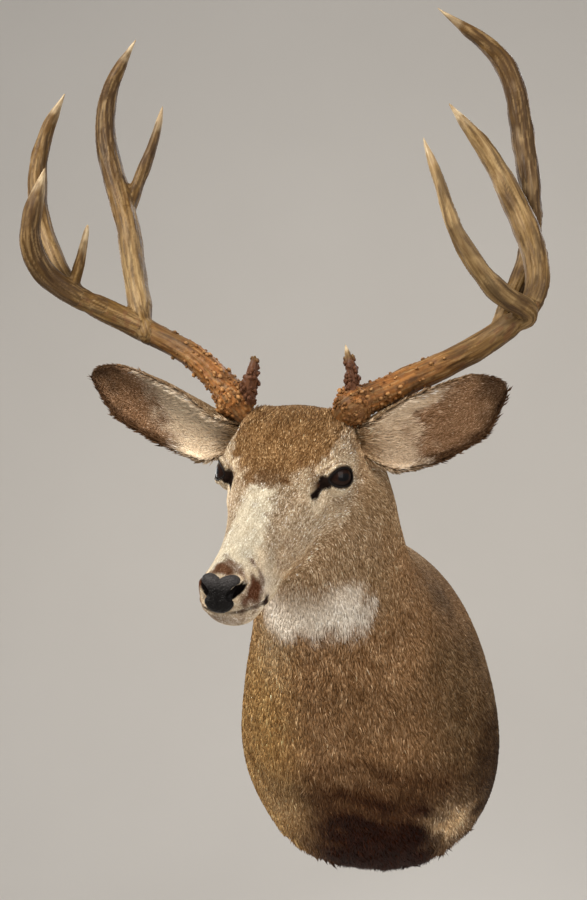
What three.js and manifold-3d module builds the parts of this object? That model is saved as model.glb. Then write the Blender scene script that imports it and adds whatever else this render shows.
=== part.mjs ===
// A mule deer buck as a wall-hung shoulder mount, life size, in millimetres.
// +Z is up, the wall is the plane Y = 0, the animal looks towards -Y and its left side is +X.
// The origin is on the wall, at the middle of the back board.
import * as THREE from 'three';
import { mergeVertices } from 'three/addons/utils/BufferGeometryUtils.js';
import Module from 'manifold-3d';

const wasm = await Module();
wasm.setup();

const GAP = 0.3; // left between two pieces that touch
const DEGREE = Math.PI / 180;

// ---------- Driving dimensions ----------

const board = { thickness: 19, inset: 17, shelter: 0.6, outlineSteps: 44 };

const hanger = { width: 92, height: 16, thickness: 1.6, pocketDepth: 2.4, pocketMargin: 8, above: 120, teeth: 13, tooth: 3 };

const headPose = { x: -71.5, y: -477.5, z: 270.6, turn: 12.9, nod: 24.1, tilt: 6.3 };

const eye = { radius: 21, side: 65, back: -1, up: 1 };

const nosePad = { forward: 205, width: 50, height: 39, depth: 20, up: -68, lean: 20 };

const ear = { thickness: 6 };

// The trunk and neck, from the wall to the skull. Each section runs from a point on the back line
// to a point on the chest line, and is widest a share `widest` of the way down from the back; `crest`
// and `round` square the parts above and below that.
const bodySections = [
  { backY: -1, backZ: 231, chestY: -1, chestZ: -245, x: 1, half: 179, widest: 0.61, crest: 2.1, round: 2.2 },
  { backY: -34, backZ: 235, chestY: -44, chestZ: -255, x: 1, half: 187, widest: 0.61, crest: 2, round: 2.25 },
  { backY: -84, backZ: 240, chestY: -110, chestZ: -240, x: 0, half: 186, widest: 0.61, crest: 1.85, round: 2.3 },
  { backY: -134, backZ: 246, chestY: -194, chestZ: -200, x: -4, half: 175, widest: 0.6, crest: 1.65, round: 2.25 },
  { backY: -184, backZ: 258, chestY: -274, chestZ: -134, x: -10, half: 154, widest: 0.58, crest: 1.5, round: 2.15 },
  { backY: -229, backZ: 278, chestY: -336, chestZ: -54, x: -17, half: 129, widest: 0.57, crest: 1.45, round: 2.1 },
  { backY: -267, backZ: 301, chestY: -380, chestZ: 22, x: -24, half: 109, widest: 0.55, crest: 1.5, round: 2.1 },
  { backY: -300, backZ: 322, chestY: -412, chestZ: 84, x: -28, half: 99, widest: 0.52, crest: 1.7, round: 2.1 },
  { backY: -332, backZ: 341, chestY: -436, chestZ: 130, x: -31, half: 94, widest: 0.5, crest: 1.95, round: 2.1 },
  { backY: -368, backZ: 354, chestY: -452, chestZ: 164, x: -39, half: 90, widest: 0.47, crest: 2.05, round: 2 },
  { backY: -410, backZ: 348, chestY: -464, chestZ: 198, x: -50, half: 73, widest: 0.5, crest: 2, round: 2 },
  { backY: -440, backZ: 318, chestY: -464, chestZ: 238, x: -60, half: 34, widest: 0.5, crest: 2, round: 2 },
];

// The head in its own frame, whose origin lies midway between the eyes. `forward` runs to the nose.
// `level` is the height at which a section is widest; `crown` and `keel` square its upper and lower half.
const headSections = [
  { forward: 212, top: -64, bottom: -82, half: 10, level: -72, crown: 2.2, keel: 2.2 },
  { forward: 209, top: -58, bottom: -92, half: 19, level: -73, crown: 2.3, keel: 2.2 },
  { forward: 202, top: -52, bottom: -105, half: 27, level: -77, crown: 2.2, keel: 2.1 },
  { forward: 190, top: -45, bottom: -116, half: 31.5, level: -82, crown: 2.1, keel: 2.1 },
  { forward: 172, top: -38, bottom: -122, half: 34, level: -85, crown: 2, keel: 2.2 },
  { forward: 145, top: -28, bottom: -118, half: 34, level: -80, crown: 2, keel: 2.1 },
  { forward: 115, top: -16, bottom: -115, half: 36, level: -66, crown: 2.2, keel: 2 },
  { forward: 85, top: -3, bottom: -116, half: 42, level: -50, crown: 2.4, keel: 1.9 },
  { forward: 58, top: 11, bottom: -119, half: 50, level: -34, crown: 2.5, keel: 1.75 },
  { forward: 34, top: 25, bottom: -122, half: 59, level: -18, crown: 2.6, keel: 1.6 },
  { forward: 16, top: 37, bottom: -126, half: 68, level: -4, crown: 2.6, keel: 1.55 },
  { forward: -4, top: 50, bottom: -129, half: 81, level: 0, crown: 2.6, keel: 1.55 },
  { forward: -26, top: 64, bottom: -131, half: 86, level: 0, crown: 2.5, keel: 1.55 },
  { forward: -54, top: 73, bottom: -127, half: 84, level: -4, crown: 2.3, keel: 1.65 },
  { forward: -84, top: 70, bottom: -114, half: 79, level: -8, crown: 2.1, keel: 1.8 },
  { forward: -110, top: 56, bottom: -92, half: 68, level: -12, crown: 2, keel: 1.9 },
  { forward: -128, top: 28, bottom: -66, half: 46, level: -18, crown: 2, keel: 2 },
];

// Swellings (lift above 0) and hollows on each side of the head.
const headRelief = [
  { name: 'brow', side: 66, forward: 6, up: 26, reach: 17, lift: 5 },
  { name: 'rear of the orbit', side: 80, forward: -20, up: 4, reach: 16, lift: 2 },
  { name: 'cheek ridge', side: 62, forward: 34, up: -30, reach: 20, lift: 4 },
  { name: 'tear pit', side: 56, forward: 36, up: -8, reach: 11, lift: -4 },
  { name: 'jaw muscle', side: 56, forward: -30, up: -70, reach: 34, lift: 6 },
  { name: 'hollow behind the mouth', side: 40, forward: 100, up: -78, reach: 22, lift: -4 },
  { name: 'nostril wing', side: 27, forward: 196, up: -64, reach: 10, lift: 4 },
  { name: 'upper lip', side: 30, forward: 178, up: -94, reach: 14, lift: 3 },
  { name: 'groove above the chin', side: 30, forward: 178, up: -107, reach: 6, lift: -3 },
];

// The same for the trunk and neck.
const bodyRelief = [
  { name: 'notch beside the brisket', side: 118, forward: 44, up: -210, reach: 32, lift: -18 },
  { name: 'point of the shoulder', side: 150, forward: 130, up: -60, reach: 70, lift: 5 },
];

// ---------- Shaping ----------

const unit = (x, y, z) => new THREE.Vector3(x, y, z).normalize();

// Reads a list of like sections as one smooth form: at(t) gives the section a share t of the way along.
function smoothly(sections) {
  const keys = Object.keys(sections[0]);
  const places = sections.map((_, i) => i / (sections.length - 1));
  const values = sections.flatMap((section) => keys.map((key) => section[key]));
  const curve = new THREE.CubicInterpolant(places, values, keys.length);
  return (t) => {
    const found = curve.evaluate(THREE.MathUtils.clamp(t, 0, 1));
    return Object.fromEntries(keys.map((key, i) => [key, found[i]]));
  };
}

const solid = (geometry) => {
  const bare = geometry.clone();
  bare.deleteAttribute('normal');
  bare.deleteAttribute('uv');
  const { attributes, index } = mergeVertices(bare, 1e-3);
  const vertProperties = new Float32Array(attributes.position.array);
  return new wasm.Manifold(new wasm.Mesh({ numProp: 3, vertProperties, triVerts: new Uint32Array(index.array) }));
};

// A closed body pulled out of a sphere. place(t, angle) puts the point that lies a share t of the way
// from the first pole to the last. The faces are turned round where the placing mirrors them.
function mould(sides, rings, place) {
  const geometry = new THREE.SphereGeometry(1, sides, rings);
  const position = geometry.getAttribute('position');
  const uv = geometry.getAttribute('uv');
  for (let i = 0; i < position.count; i += 1) {
    const point = place(1 - uv.getY(i), 2 * Math.PI * uv.getX(i));
    position.setXYZ(i, point.x, point.y, point.z);
  }
  if (solid(geometry).volume() < 0) {
    const turned = Array.from(geometry.index.array);
    for (let i = 0; i < turned.length; i += 3) [turned[i], turned[i + 1]] = [turned[i + 1], turned[i]];
    geometry.setIndex(turned);
  }
  return solid(geometry);
}

// A point of a superellipse of half axes 1, whose corners grow squarer as `power` rises above 2.
const squared = (value, power) => Math.sign(value) * Math.abs(value) ** (2 / power);

// The share of a section's size that is used near a pole, so that both ends close.
const closing = (t, rings) => Math.min(1, t * rings, (1 - t) * rings);

function geometryOf(manifold) {
  const mesh = manifold.getMesh();
  const geometry = new THREE.BufferGeometry();
  geometry.setAttribute('position', new THREE.BufferAttribute(mesh.vertProperties.slice(), 3));
  geometry.setIndex(new THREE.BufferAttribute(mesh.triVerts.slice(), 1));
  geometry.computeVertexNormals();
  return geometry;
}

const largest = (manifold) => manifold.decompose().sort((a, b) => b.volume() - a.volume())[0];

const piece = (name, manifold, material) => {
  const mesh = new THREE.Mesh(geometryOf(largest(manifold)), material);
  mesh.name = name;
  return mesh;
};

// How far the swellings and hollows of a list lift the surface at a point.
const reliefAt = (forms, point) =>
  forms.reduce((sum, form) => {
    const offset = new THREE.Vector3(Math.abs(point.x) - form.side, point.y + form.forward, point.z - form.up);
    return sum + form.lift * Math.exp(-offset.lengthSq() / (form.reach * form.reach));
  }, 0);

// ---------- Materials ----------

const finish = (color, roughness, metalness = 0) => new THREE.MeshStandardMaterial({ color, roughness, metalness });
const materials = {
  coat: finish('#7d6a52', 0.9),
  headCoat: finish('#a89880', 0.9),
  earCoat: finish('#9a8f80', 0.9),
  antler: finish('#8a7048', 0.55),
  glass: finish('#17100b', 0.08),
  noseSkin: finish('#26272a', 0.45),
  plywood: finish('#b08a58', 0.75),
  steel: finish('#b8b8b4', 0.35, 0.9),
};

// ---------- Trunk and neck ----------

const TRUNK_END = 0.37; // where the trunk ends and the neck begins, as a share of the body's length

const bodyAt = smoothly(bodySections);

function bodyCentre(t) {
  const section = bodyAt(t);
  return new THREE.Vector3(
    section.x,
    (section.backY + section.chestY) / 2,
    (section.backZ + section.chestZ) / 2,
  );
}

function bodyPoint(t, angle, grow = 0) {
  const section = bodyAt(t);
  const power = Math.sin(angle) > 0 ? section.crest : section.round;
  const across = squared(Math.cos(angle), power);
  const down = squared(-Math.sin(angle), power);
  const share = down < 0 ? section.widest * (1 + down) : section.widest + (1 - section.widest) * down;
  const point = new THREE.Vector3(
    section.x + section.half * across,
    THREE.MathUtils.lerp(section.backY, section.chestY, share),
    THREE.MathUtils.lerp(section.backZ, section.chestZ, share),
  );
  const outward = point.clone().sub(bodyCentre(t)).normalize();
  return point.addScaledVector(outward, grow + (t > 0 ? reliefAt(bodyRelief, point) : 0));
}

function buildBody(grow = 0) {
  const [sides, rings] = [30, 21];
  return mould(sides, rings, (t, angle) => {
    const along = THREE.MathUtils.clamp((t * rings - 1) / (rings - 2), 0, 1);
    return bodyCentre(along).lerp(bodyPoint(along, angle, grow), closing(t, rings));
  });
}

// A thin slab across the body at a share t of its length; taking it away parts the body there.
function slabAcross(t) {
  const section = bodyAt(t);
  const spine = new THREE.Vector3(0, section.chestY - section.backY, section.chestZ - section.backZ).normalize();
  const centre = bodyCentre(t);
  const normal = new THREE.Vector3(1, 0, 0).cross(spine);
  const slab = new THREE.BoxGeometry(900, 900, GAP);
  slab.applyQuaternion(new THREE.Quaternion().setFromUnitVectors(new THREE.Vector3(0, 0, 1), normal));
  slab.translate(centre.x, centre.y, centre.z);
  return solid(slab);
}

// ---------- Back board and hanger ----------

// The board follows the trunk's outline at the wall, drawn in by `inset`.
function boardPrism(inset, front) {
  const outline = new THREE.Shape();
  const middle = bodyAt(0);
  const centreZ = (middle.backZ + middle.chestZ) / 2;
  for (let i = 0; i < board.outlineSteps; i += 1) {
    const edge = bodyPoint(0, (2 * Math.PI * i) / board.outlineSteps);
    const reach = Math.hypot(edge.x, edge.z - centreZ);
    const share = (reach - inset) / reach;
    const [x, z] = [edge.x * share, centreZ + (edge.z - centreZ) * share];
    if (i === 0) outline.moveTo(x, z);
    else outline.lineTo(x, z);
  }
  const prism = new THREE.ExtrudeGeometry(outline, { depth: front, bevelEnabled: false });
  prism.rotateX(Math.PI / 2);
  return solid(prism);
}

function hangerPocket() {
  const width = hanger.width + 2 * hanger.pocketMargin;
  const height = hanger.height + 2 * hanger.pocketMargin;
  const pocket = new THREE.BoxGeometry(width, 2 * hanger.pocketDepth, height);
  pocket.translate(0, 0, hanger.above);
  return solid(pocket);
}

// A flat steel strip with a sawtooth lower edge.
function buildHanger() {
  const strip = new THREE.Shape();
  const [right, low, high] = [hanger.width / 2, -hanger.height / 2, hanger.height / 2];
  const pitch = (hanger.width * 0.7) / hanger.teeth;
  strip.moveTo(-right, high);
  strip.lineTo(-right, low);
  for (let i = 0; i < hanger.teeth; i += 1) {
    const left = -0.35 * hanger.width + i * pitch;
    strip.lineTo(left, low);
    strip.lineTo(left + pitch / 2, low + hanger.tooth);
  }
  strip.lineTo(0.35 * hanger.width, low);
  strip.lineTo(right, low);
  strip.lineTo(right, high);
  const plate = new THREE.ExtrudeGeometry(strip, { depth: hanger.thickness, bevelEnabled: false });
  plate.rotateX(Math.PI / 2);
  plate.translate(0, -(hanger.pocketDepth - GAP - hanger.thickness), hanger.above);
  return solid(plate);
}

// ---------- Head ----------

const headAt = smoothly(headSections);

function buildHead(grow = 0) {
  const [sides, rings] = [28, 31];
  return mould(sides, rings, (t, angle) => {
    const along = THREE.MathUtils.clamp((t * rings - 1) / (rings - 2), 0, 1);
    const section = headAt(along);
    const [across, up] = [Math.cos(angle), Math.sin(angle)];
    const power = up > 0 ? section.crown : section.keel;
    const rise = up > 0 ? section.top - section.level : section.level - section.bottom;
    const centre = new THREE.Vector3(0, -section.forward, section.level);
    const edge = new THREE.Vector3(
      section.half * squared(across, power),
      -section.forward,
      section.level + rise * squared(up, power),
    );
    const outward = edge.clone().sub(centre).normalize();
    edge.addScaledVector(outward, reliefAt(headRelief, edge) + grow);
    return centre.lerp(edge, closing(t, rings));
  });
}

const eyeball = (side, grow = 0) => {
  const ball = new THREE.SphereGeometry(eye.radius + grow, 16, 10);
  ball.rotateZ(Math.PI / 2);
  ball.translate(side * eye.side, eye.back, eye.up);
  return solid(ball);
};

// The nose pad: a rounded block, broad and lobed above, narrow below.
function buildNosePad(grow = 0) {
  const [sides, rings] = [18, 9];
  const tilt = nosePad.lean * DEGREE;
  return mould(sides, rings, (t, angle) => {
    const latitude = Math.PI * t;
    const ringSize = squared(Math.sin(latitude), 3);
    const up = squared(Math.sin(angle), 2.6) * ringSize;
    const lobes = up > 0 ? 1 : 1 + 0.42 * up;
    const dip = up > 0 ? 0.12 * up * (1 - Math.min(1, Math.abs(Math.cos(angle)) * 2.2)) : 0;
    const x = (nosePad.width / 2 + grow) * squared(Math.cos(angle), 2.6) * ringSize * lobes;
    const z = (nosePad.height / 2 + grow) * (up - dip);
    const y = -(nosePad.depth / 2 + grow) * squared(Math.cos(latitude), 3);
    return new THREE.Vector3(
      x,
      -nosePad.forward + y * Math.cos(tilt) + z * Math.sin(tilt),
      nosePad.up + z * Math.cos(tilt) - y * Math.sin(tilt),
    );
  });
}

// ---------- Ears ----------

// A cupped leaf. `half` is half its width, `curl` how far each edge wraps forward, in degrees, and
// `sag` drops the middle of the leaf below a straight line from root to tip, times the ear's `droop`.
const earSections = [
  { half: 16, curl: 130, sag: 0 },
  { half: 28, curl: 110, sag: 0 },
  { half: 38, curl: 86, sag: 1 },
  { half: 43, curl: 70, sag: 3 },
  { half: 45, curl: 60, sag: 4 },
  { half: 44, curl: 53, sag: 4 },
  { half: 41, curl: 47, sag: 3 },
  { half: 35, curl: 42, sag: 1 },
  { half: 25, curl: 34, sag: 0 },
];
const earAt = smoothly(earSections);

const ears = {
  left: { root: [60, 84, 23], tip: [247, 146, 86], facing: unit(0.22, -0.94, -0.26), spread: 1.11, droop: 1 },
  right: { root: [-71, 82, 24], tip: [-285, 64, 106], facing: unit(-0.06, -0.96, -0.3), spread: 1.08, droop: -0.5 },
};

function buildEar({ root, tip, facing, spread, droop }) {
  const [sides, rings] = [18, 13];
  const [start, end] = [new THREE.Vector3(...root), new THREE.Vector3(...tip)];
  const line = end.clone().sub(start);
  const away = facing.clone().addScaledVector(line, -facing.dot(line) / line.lengthSq()).normalize();
  const wide = away.clone().cross(line).normalize();
  if (wide.z < 0) wide.negate();
  return mould(sides, rings, (t, angle) => {
    const section = earAt(t);
    const curl = section.curl * DEGREE;
    const half = section.half * spread;
    const radius = half / Math.sin(Math.min(curl, Math.PI / 2));
    const close = Math.sqrt(closing(t, 3));
    const turn = curl * Math.cos(angle) * close;
    const rim = Math.sqrt(1 - Math.cos(angle) ** 4);
    const thick = (ear.thickness / 2) * Math.sign(Math.sin(angle)) * rim * close;
    return start.clone()
      .addScaledVector(line, t)
      .addScaledVector(wide, (radius + thick) * Math.sin(turn) - section.sag * droop)
      .addScaledVector(away, radius * (1 - Math.cos(turn)) - thick * Math.cos(turn));
  });
}

// ---------- Antlers ----------

// Each length is a tapering tube along a smooth curve, in the head's frame. `girth` lists its
// radii from root to tip, evenly spaced. A flared length swells into the burr above its root.
const antlers = {
  left: {
    beam: { path: [[49, 58, 43], [65, 61, 67], [122, 105, 93], [205, 155, 130], [269, 181, 174]], girth: [20, 19, 17.5, 16.5, 15], flared: true },
    front_tine: { path: [[266, 179, 165], [233, 131, 210], [195, 113, 271], [170, 122, 336], [148, 139, 385]], girth: [14, 13.5, 10.5, 7.5, 2] },
    upper_tine: { path: [[256, 173, 161], [274, 204, 203], [260, 236, 255], [206, 267, 353], [154, 260, 425]], girth: [14, 16, 14, 10, 2] },
    rear_tine: { path: [[220, 162, 136], [241, 212, 185], [255, 272, 251], [237, 335, 364], [205, 364, 473], [125, 353, 544]], girth: [12, 13, 13.5, 15, 11.5, 2] },
    brow_tine: { path: [[67, 61, 65], [72, 63, 99], [68, 70, 124], [60, 79, 147]], girth: [9, 8, 6, 1.6] },
  },
  right: {
    beam: { path: [[-59, 56, 44], [-73, 58, 66], [-138, 83, 121], [-238, 93, 168], [-310, 74, 208]], girth: [19, 18, 15.5, 16.5, 15], flared: true },
    front_tine: { path: [[-300, 76, 202], [-335, 50, 242], [-342, 40, 287], [-326, 60, 367]], girth: [14, 13.5, 11, 2] },
    upper_tine: { path: [[-304, 76, 204], [-362, 113, 275], [-388, 144, 344], [-382, 168, 409], [-357, 181, 458]], girth: [11, 10.5, 11, 8, 2] },
    small_tine: { path: [[-308, 73, 213], [-298, 82, 248], [-293, 97, 292]], girth: [9, 6, 1.8] },
    rear_tine: { path: [[-212, 88, 154], [-243, 130, 206], [-278, 187, 282], [-333, 248, 399], [-329, 264, 466], [-291, 273, 528]], girth: [14, 15, 14, 12.5, 9, 2] },
    rear_branch: { path: [[-285, 194, 292], [-280, 234, 342], [-266, 263, 395], [-259, 281, 438]], girth: [9, 8, 6, 1.8] },
    brow_tine: { path: [[-67, 54, 62], [-62, 56, 92], [-56, 61, 116], [-54, 67, 135]], girth: [10, 10, 8, 4] },
  },
};
const burr = { flare: 7, place: 0.13, reach: 0.035 };

function buildTube({ path, girth, flared }, grow = 0) {
  const curve = new THREE.CatmullRomCurve3(path.map((point) => new THREE.Vector3(...point)));
  const [sides, rings] = [flared ? 12 : 9, 4 + 2 * path.length];
  const frames = curve.computeFrenetFrames(rings, false);
  const radiusAt = smoothly(girth.map((radius) => ({ radius })));
  return mould(sides, rings, (t, angle) => {
    const ring = Math.round(t * rings);
    const coronet = flared ? burr.flare * Math.exp(-(((t - burr.place) / burr.reach) ** 2)) : 0;
    const radius = (radiusAt(t).radius + coronet + grow) * Math.sqrt(closing(t, 2 * rings / 3));
    return curve.getPointAt(t)
      .addScaledVector(frames.normals[ring], radius * Math.cos(angle))
      .addScaledVector(frames.binormals[ring], radius * Math.sin(angle));
  });
}

// Builds one antler, each length cut back from the flesh and from those that it grows from.
function buildAntler(side, flesh) {
  const meshes = [];
  let grownSoFar = flesh;
  for (const [name, length] of Object.entries(antlers[side])) {
    meshes.push(piece(`antler_${side}_${name}`, buildTube(length).subtract(grownSoFar), materials.antler));
    grownSoFar = grownSoFar.add(buildTube(length, GAP));
  }
  return meshes;
}

// ---------- Assembly ----------

const head = new THREE.Group();
head.position.set(headPose.x, headPose.y, headPose.z);
head.rotation.set(headPose.nod * DEGREE, headPose.tilt * DEGREE, -headPose.turn * DEGREE, 'ZXY');
head.updateMatrixWorld(true);

const skull = buildHead();
const skullGrown = buildHead(GAP);
const intoHead = head.matrixWorld.clone().invert();
const fleshGrown = skullGrown.add(solid(geometryOf(buildBody(GAP)).applyMatrix4(intoHead)));
const eyeSockets = eyeball(1, GAP).add(eyeball(-1, GAP));
head.add(piece('head', skull.subtract(eyeSockets).subtract(buildNosePad(GAP)), materials.headCoat));
head.add(piece('nose', buildNosePad(), materials.noseSkin));
for (const [name, side] of [['left', 1], ['right', -1]]) {
  head.add(piece(`eye_${name}`, eyeball(side), materials.glass));
  const aroundEar = fleshGrown.add(buildTube(antlers[name].beam, GAP));
  head.add(piece(`ear_${name}`, buildEar(ears[name]).subtract(aroundEar), materials.earCoat));
  head.add(...buildAntler(name, fleshGrown));
}

const body = buildBody();
const skullInPlace = solid(geometryOf(skullGrown).applyMatrix4(head.matrixWorld));
const shelteredBoard = boardPrism(board.inset - board.shelter, board.thickness + GAP);
const [lower, upper] = body
  .subtract(slabAcross(TRUNK_END))
  .decompose()
  .sort((a, b) => b.volume() - a.volume());

const mount = new THREE.Group();
mount.add(piece('back_board', boardPrism(board.inset, board.thickness).subtract(hangerPocket()), materials.plywood));
mount.add(piece('hanger', buildHanger(), materials.steel));
mount.add(piece('trunk', lower.subtract(shelteredBoard), materials.coat));
mount.add(piece('neck', upper.subtract(skullInPlace), materials.coat));
mount.add(head);

export default mount;
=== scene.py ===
"""A mule deer buck as a shoulder mount: hide, coat, eyes, nose, antlers and back board.

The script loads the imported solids, hides those of flesh and antler, and dresses the mount with one skin,
tufts of hair, glass eyes, a nose pad and two antlers. Shapes are worked out in millimetres and the pieces
are made in metres, in the frame of the solids: +Z up, the wall at Y = 0, the animal looking towards -Y.
"""

import logging
import math
from dataclasses import dataclass, field
from enum import Enum
from typing import Callable, Iterable, Sequence

import bmesh
import bpy
import numpy as np
from bmesh.types import BMesh, BMVert
from bpy.types import ID, Material, Mesh, Node, NodeSocket, Object
from mathutils import Matrix, Vector, kdtree

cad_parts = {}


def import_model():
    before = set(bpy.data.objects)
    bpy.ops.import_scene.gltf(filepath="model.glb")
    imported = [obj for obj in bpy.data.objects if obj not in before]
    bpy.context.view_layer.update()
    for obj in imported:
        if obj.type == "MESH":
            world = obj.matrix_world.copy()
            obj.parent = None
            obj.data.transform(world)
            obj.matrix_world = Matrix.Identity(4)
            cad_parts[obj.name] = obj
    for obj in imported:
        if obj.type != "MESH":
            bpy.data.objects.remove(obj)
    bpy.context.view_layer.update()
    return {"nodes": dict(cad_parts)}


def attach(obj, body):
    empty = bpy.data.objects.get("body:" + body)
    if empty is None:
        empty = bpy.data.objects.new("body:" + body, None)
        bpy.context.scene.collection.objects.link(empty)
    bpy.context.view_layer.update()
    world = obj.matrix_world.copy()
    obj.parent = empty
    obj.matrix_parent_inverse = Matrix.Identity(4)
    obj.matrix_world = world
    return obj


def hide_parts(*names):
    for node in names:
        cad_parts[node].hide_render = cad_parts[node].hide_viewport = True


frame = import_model()

MM = 0.001
BODY = "root"
LOG = logging.getLogger("mount")

Array = np.ndarray
Colour = tuple[float, float, float]
Point = tuple[float, float, float]
Line = Sequence[Sequence[float]]
Table = Sequence[tuple[float, float]]
Surface = Callable[[Array, Array], Array]


# ---------- Numbers and curves ----------


def linear(red: int, green: int, blue: int) -> Colour:
    """Turns a colour, in the steps of 0 to 255 that a screen shows, into linear light from 0 to 1."""
    shares = (step / 255 for step in (red, green, blue))
    return tuple(((share + 0.055) / 1.055) ** 2.4 if share > 0.04 else share / 12.92 for share in shares)


def smooth(low: float, high: float, value: Array) -> Array:
    """Rises from 0 at `low` to 1 at `high` without a kink; `low` may be the larger."""
    share = np.clip((value - low) / (high - low), 0.0, 1.0)
    return share * share * (3.0 - 2.0 * share)


def lengths(vectors: Array) -> Array:
    """The length of each vector of an (n, 3) array, as an (n, 1) array."""
    return np.linalg.norm(vectors, axis=-1, keepdims=True)


def unit(vectors: Array) -> Array:
    """The vectors at length 1; a zero vector stays zero."""
    return vectors / np.maximum(lengths(vectors), 1e-9)


def read_off(table: Table, at: Array) -> Array:
    """Reads values off a table of places and values, in straight lines from one place to the next."""
    return np.interp(at, *zip(*table))


def blob(points: Array, centre: Sequence[float], reach: float | Sequence[float]) -> Array:
    """A soft mask that is 1 at a centre and fades out over a reach, or over one for each axis."""
    offset = (points - np.asarray(centre, float)) / np.asarray(reach, float)
    return np.exp(-np.sum(offset * offset, axis=-1))


def bell(value: Array, reach: float | Array, power: int = 2) -> Array:
    """1 where a value is 0, fading out past a reach; a higher power makes its top flatter."""
    return np.exp(-((value / reach) ** power))


def stroke(points: Array, path: Line) -> tuple[Array, Array]:
    """Measures how far points lie from a line drawn through a few stations.

    Args:
        points: an (n, 3) array.
        path: the stations of the line.

    Returns:
        The distance of each point from the line, and how far along the line its foot lies, 0 to 1.
    """
    stations = np.asarray(path, float)
    nearest = np.full(len(points), np.inf)
    along = np.zeros(len(points))
    for i, (start, end) in enumerate(zip(stations[:-1], stations[1:])):
        line = end - start
        share = np.clip((points - start) @ line / (line @ line), 0.0, 1.0)
        gap = np.linalg.norm(points - start - share[:, None] * line, axis=1)
        closer = gap < nearest
        nearest = np.where(closer, gap, nearest)
        along = np.where(closer, (i + share) / (len(stations) - 1), along)
    return nearest, along


def squared(value: Array, power: Array) -> Array:
    """A superellipse's coordinate, whose corners grow squarer as the power rises above 2."""
    return np.sign(value) * np.abs(value) ** (2.0 / power)


def ripple(points: Array, size: float, seed: int, waves: int = 10) -> Array:
    """A soft wandering value, about -1 to 1, with humps of about the given size.

    Args:
        points: an (n, 3) array.
        size: the usual distance from hump to hump.
        seed: picks the pattern.
        waves: how many plain waves are added up.

    Returns:
        An (n,) array.
    """
    dice = np.random.default_rng(seed)
    heading = unit(dice.normal(size=(waves, 3))) * (2 * np.pi / size) * dice.uniform(0.6, 1.6, (waves, 1))
    phase = dice.uniform(0, 2 * np.pi, waves)
    return np.sin(points @ heading.T + phase).sum(axis=1) * (2.0 / waves) ** 0.5


class Smoothly:
    """One smooth form read from a list of like sections."""

    def __init__(self, rows: Line) -> None:
        """Keeps the sections and their slopes.

        Args:
            rows: the numbers of each section, evenly spaced from first to last.
        """
        self.rows = np.asarray(rows, float)
        inner = (self.rows[2:] - self.rows[:-2]) / 2
        first = (3 * (self.rows[1] - self.rows[0]) - inner[0]) / 2
        last = (3 * (self.rows[-1] - self.rows[-2]) - inner[-1]) / 2
        self.slopes = np.concatenate([first[None], inner, last[None]])

    def at(self, t: Array) -> Array:
        """Reads the sections a share t of the way along.

        Args:
            t: shares from 0 to 1.

        Returns:
            An array with one more axis than t, for the numbers of the section.
        """
        spans = len(self.rows) - 1
        place = np.clip(t, 0.0, 1.0) * spans
        start = np.minimum(place.astype(int), spans - 1)
        f = (place - start)[..., None]
        a, b = self.rows[start], self.rows[start + 1]
        slope_a, slope_b = self.slopes[start], self.slopes[start + 1]
        ahead = f * f * (3 - 2 * f)
        return a + (b - a) * ahead + slope_a * f * (1 - f) ** 2 - slope_b * f * f * (1 - f)


def columns(sections: Line, t: Array) -> Array:
    """Each number of a form's sections, as an array of its own, a share t of the way along the form."""
    return np.moveaxis(Smoothly(sections).at(t), -1, 0)


# ---------- Meshes ----------


def coordinates(mesh: Mesh) -> Array:
    """The vertices of a mesh in millimetres, as an (n, 3) array."""
    flat = np.empty(len(mesh.vertices) * 3, np.float32)
    mesh.vertices.foreach_get("co", flat)
    return flat.reshape(-1, 3).astype(float) / MM


def place_vertices(mesh: Mesh, points: Array) -> None:
    """Moves the vertices of a mesh to points given in millimetres."""
    mesh.vertices.foreach_set("co", (points * MM).astype(np.float32).ravel())
    mesh.update()


def normals(mesh: Mesh) -> Array:
    """The unit normals of a mesh's vertices."""
    flat = np.empty(len(mesh.vertices) * 3, np.float32)
    mesh.vertex_normals.foreach_get("vector", flat)
    return flat.reshape(-1, 3).astype(float)


def paint(mesh: Mesh, name: str, colours: Array) -> None:
    """Keeps a colour for each vertex in an attribute that a material can read.

    Args:
        mesh: the mesh to paint.
        name: the attribute's name.
        colours: an (n, 3) array in linear light.
    """
    layer = mesh.color_attributes.new(name, "FLOAT_COLOR", "POINT")
    rgba = np.ones((len(mesh.vertices), 4), np.float32)
    rgba[:, :3] = colours
    layer.data.foreach_set("color", rgba.ravel())


def record(mesh: Mesh, name: str, values: Array) -> None:
    """Keeps a number or a vector for each vertex in an attribute that a material can read."""
    kind, key = ("FLOAT", "value") if values.ndim == 1 else ("FLOAT_VECTOR", "vector")
    mesh.attributes.new(name, kind, "POINT").data.foreach_set(key, values.astype(np.float32).ravel())


def mould(sides: int, rings: int, place: Surface) -> BMesh:
    """Pulls a closed body out of a sphere.

    Args:
        sides: steps round the body.
        rings: steps from the first pole to the last.
        place: gives the points, in millimetres, for shares t of the way from pole to pole and angles.

    Returns:
        The body, with its faces pointing out.
    """
    form = bmesh.new()
    bmesh.ops.create_uvsphere(form, u_segments=sides, v_segments=rings, radius=1.0)
    ball = np.array([v.co for v in form.verts])
    placed = place(np.arccos(np.clip(-ball[:, 2], -1, 1)) / np.pi, np.arctan2(ball[:, 1], ball[:, 0]))
    for vert, point in zip(form.verts, placed * MM):
        vert.co = point
    bmesh.ops.recalc_face_normals(form, faces=form.faces)
    return form


def closing(t: Array, rings: int) -> Array:
    """The share of a section's size used near a pole, so that both ends close."""
    return np.minimum(1.0, np.minimum(t, 1.0 - t) * rings)


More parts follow.
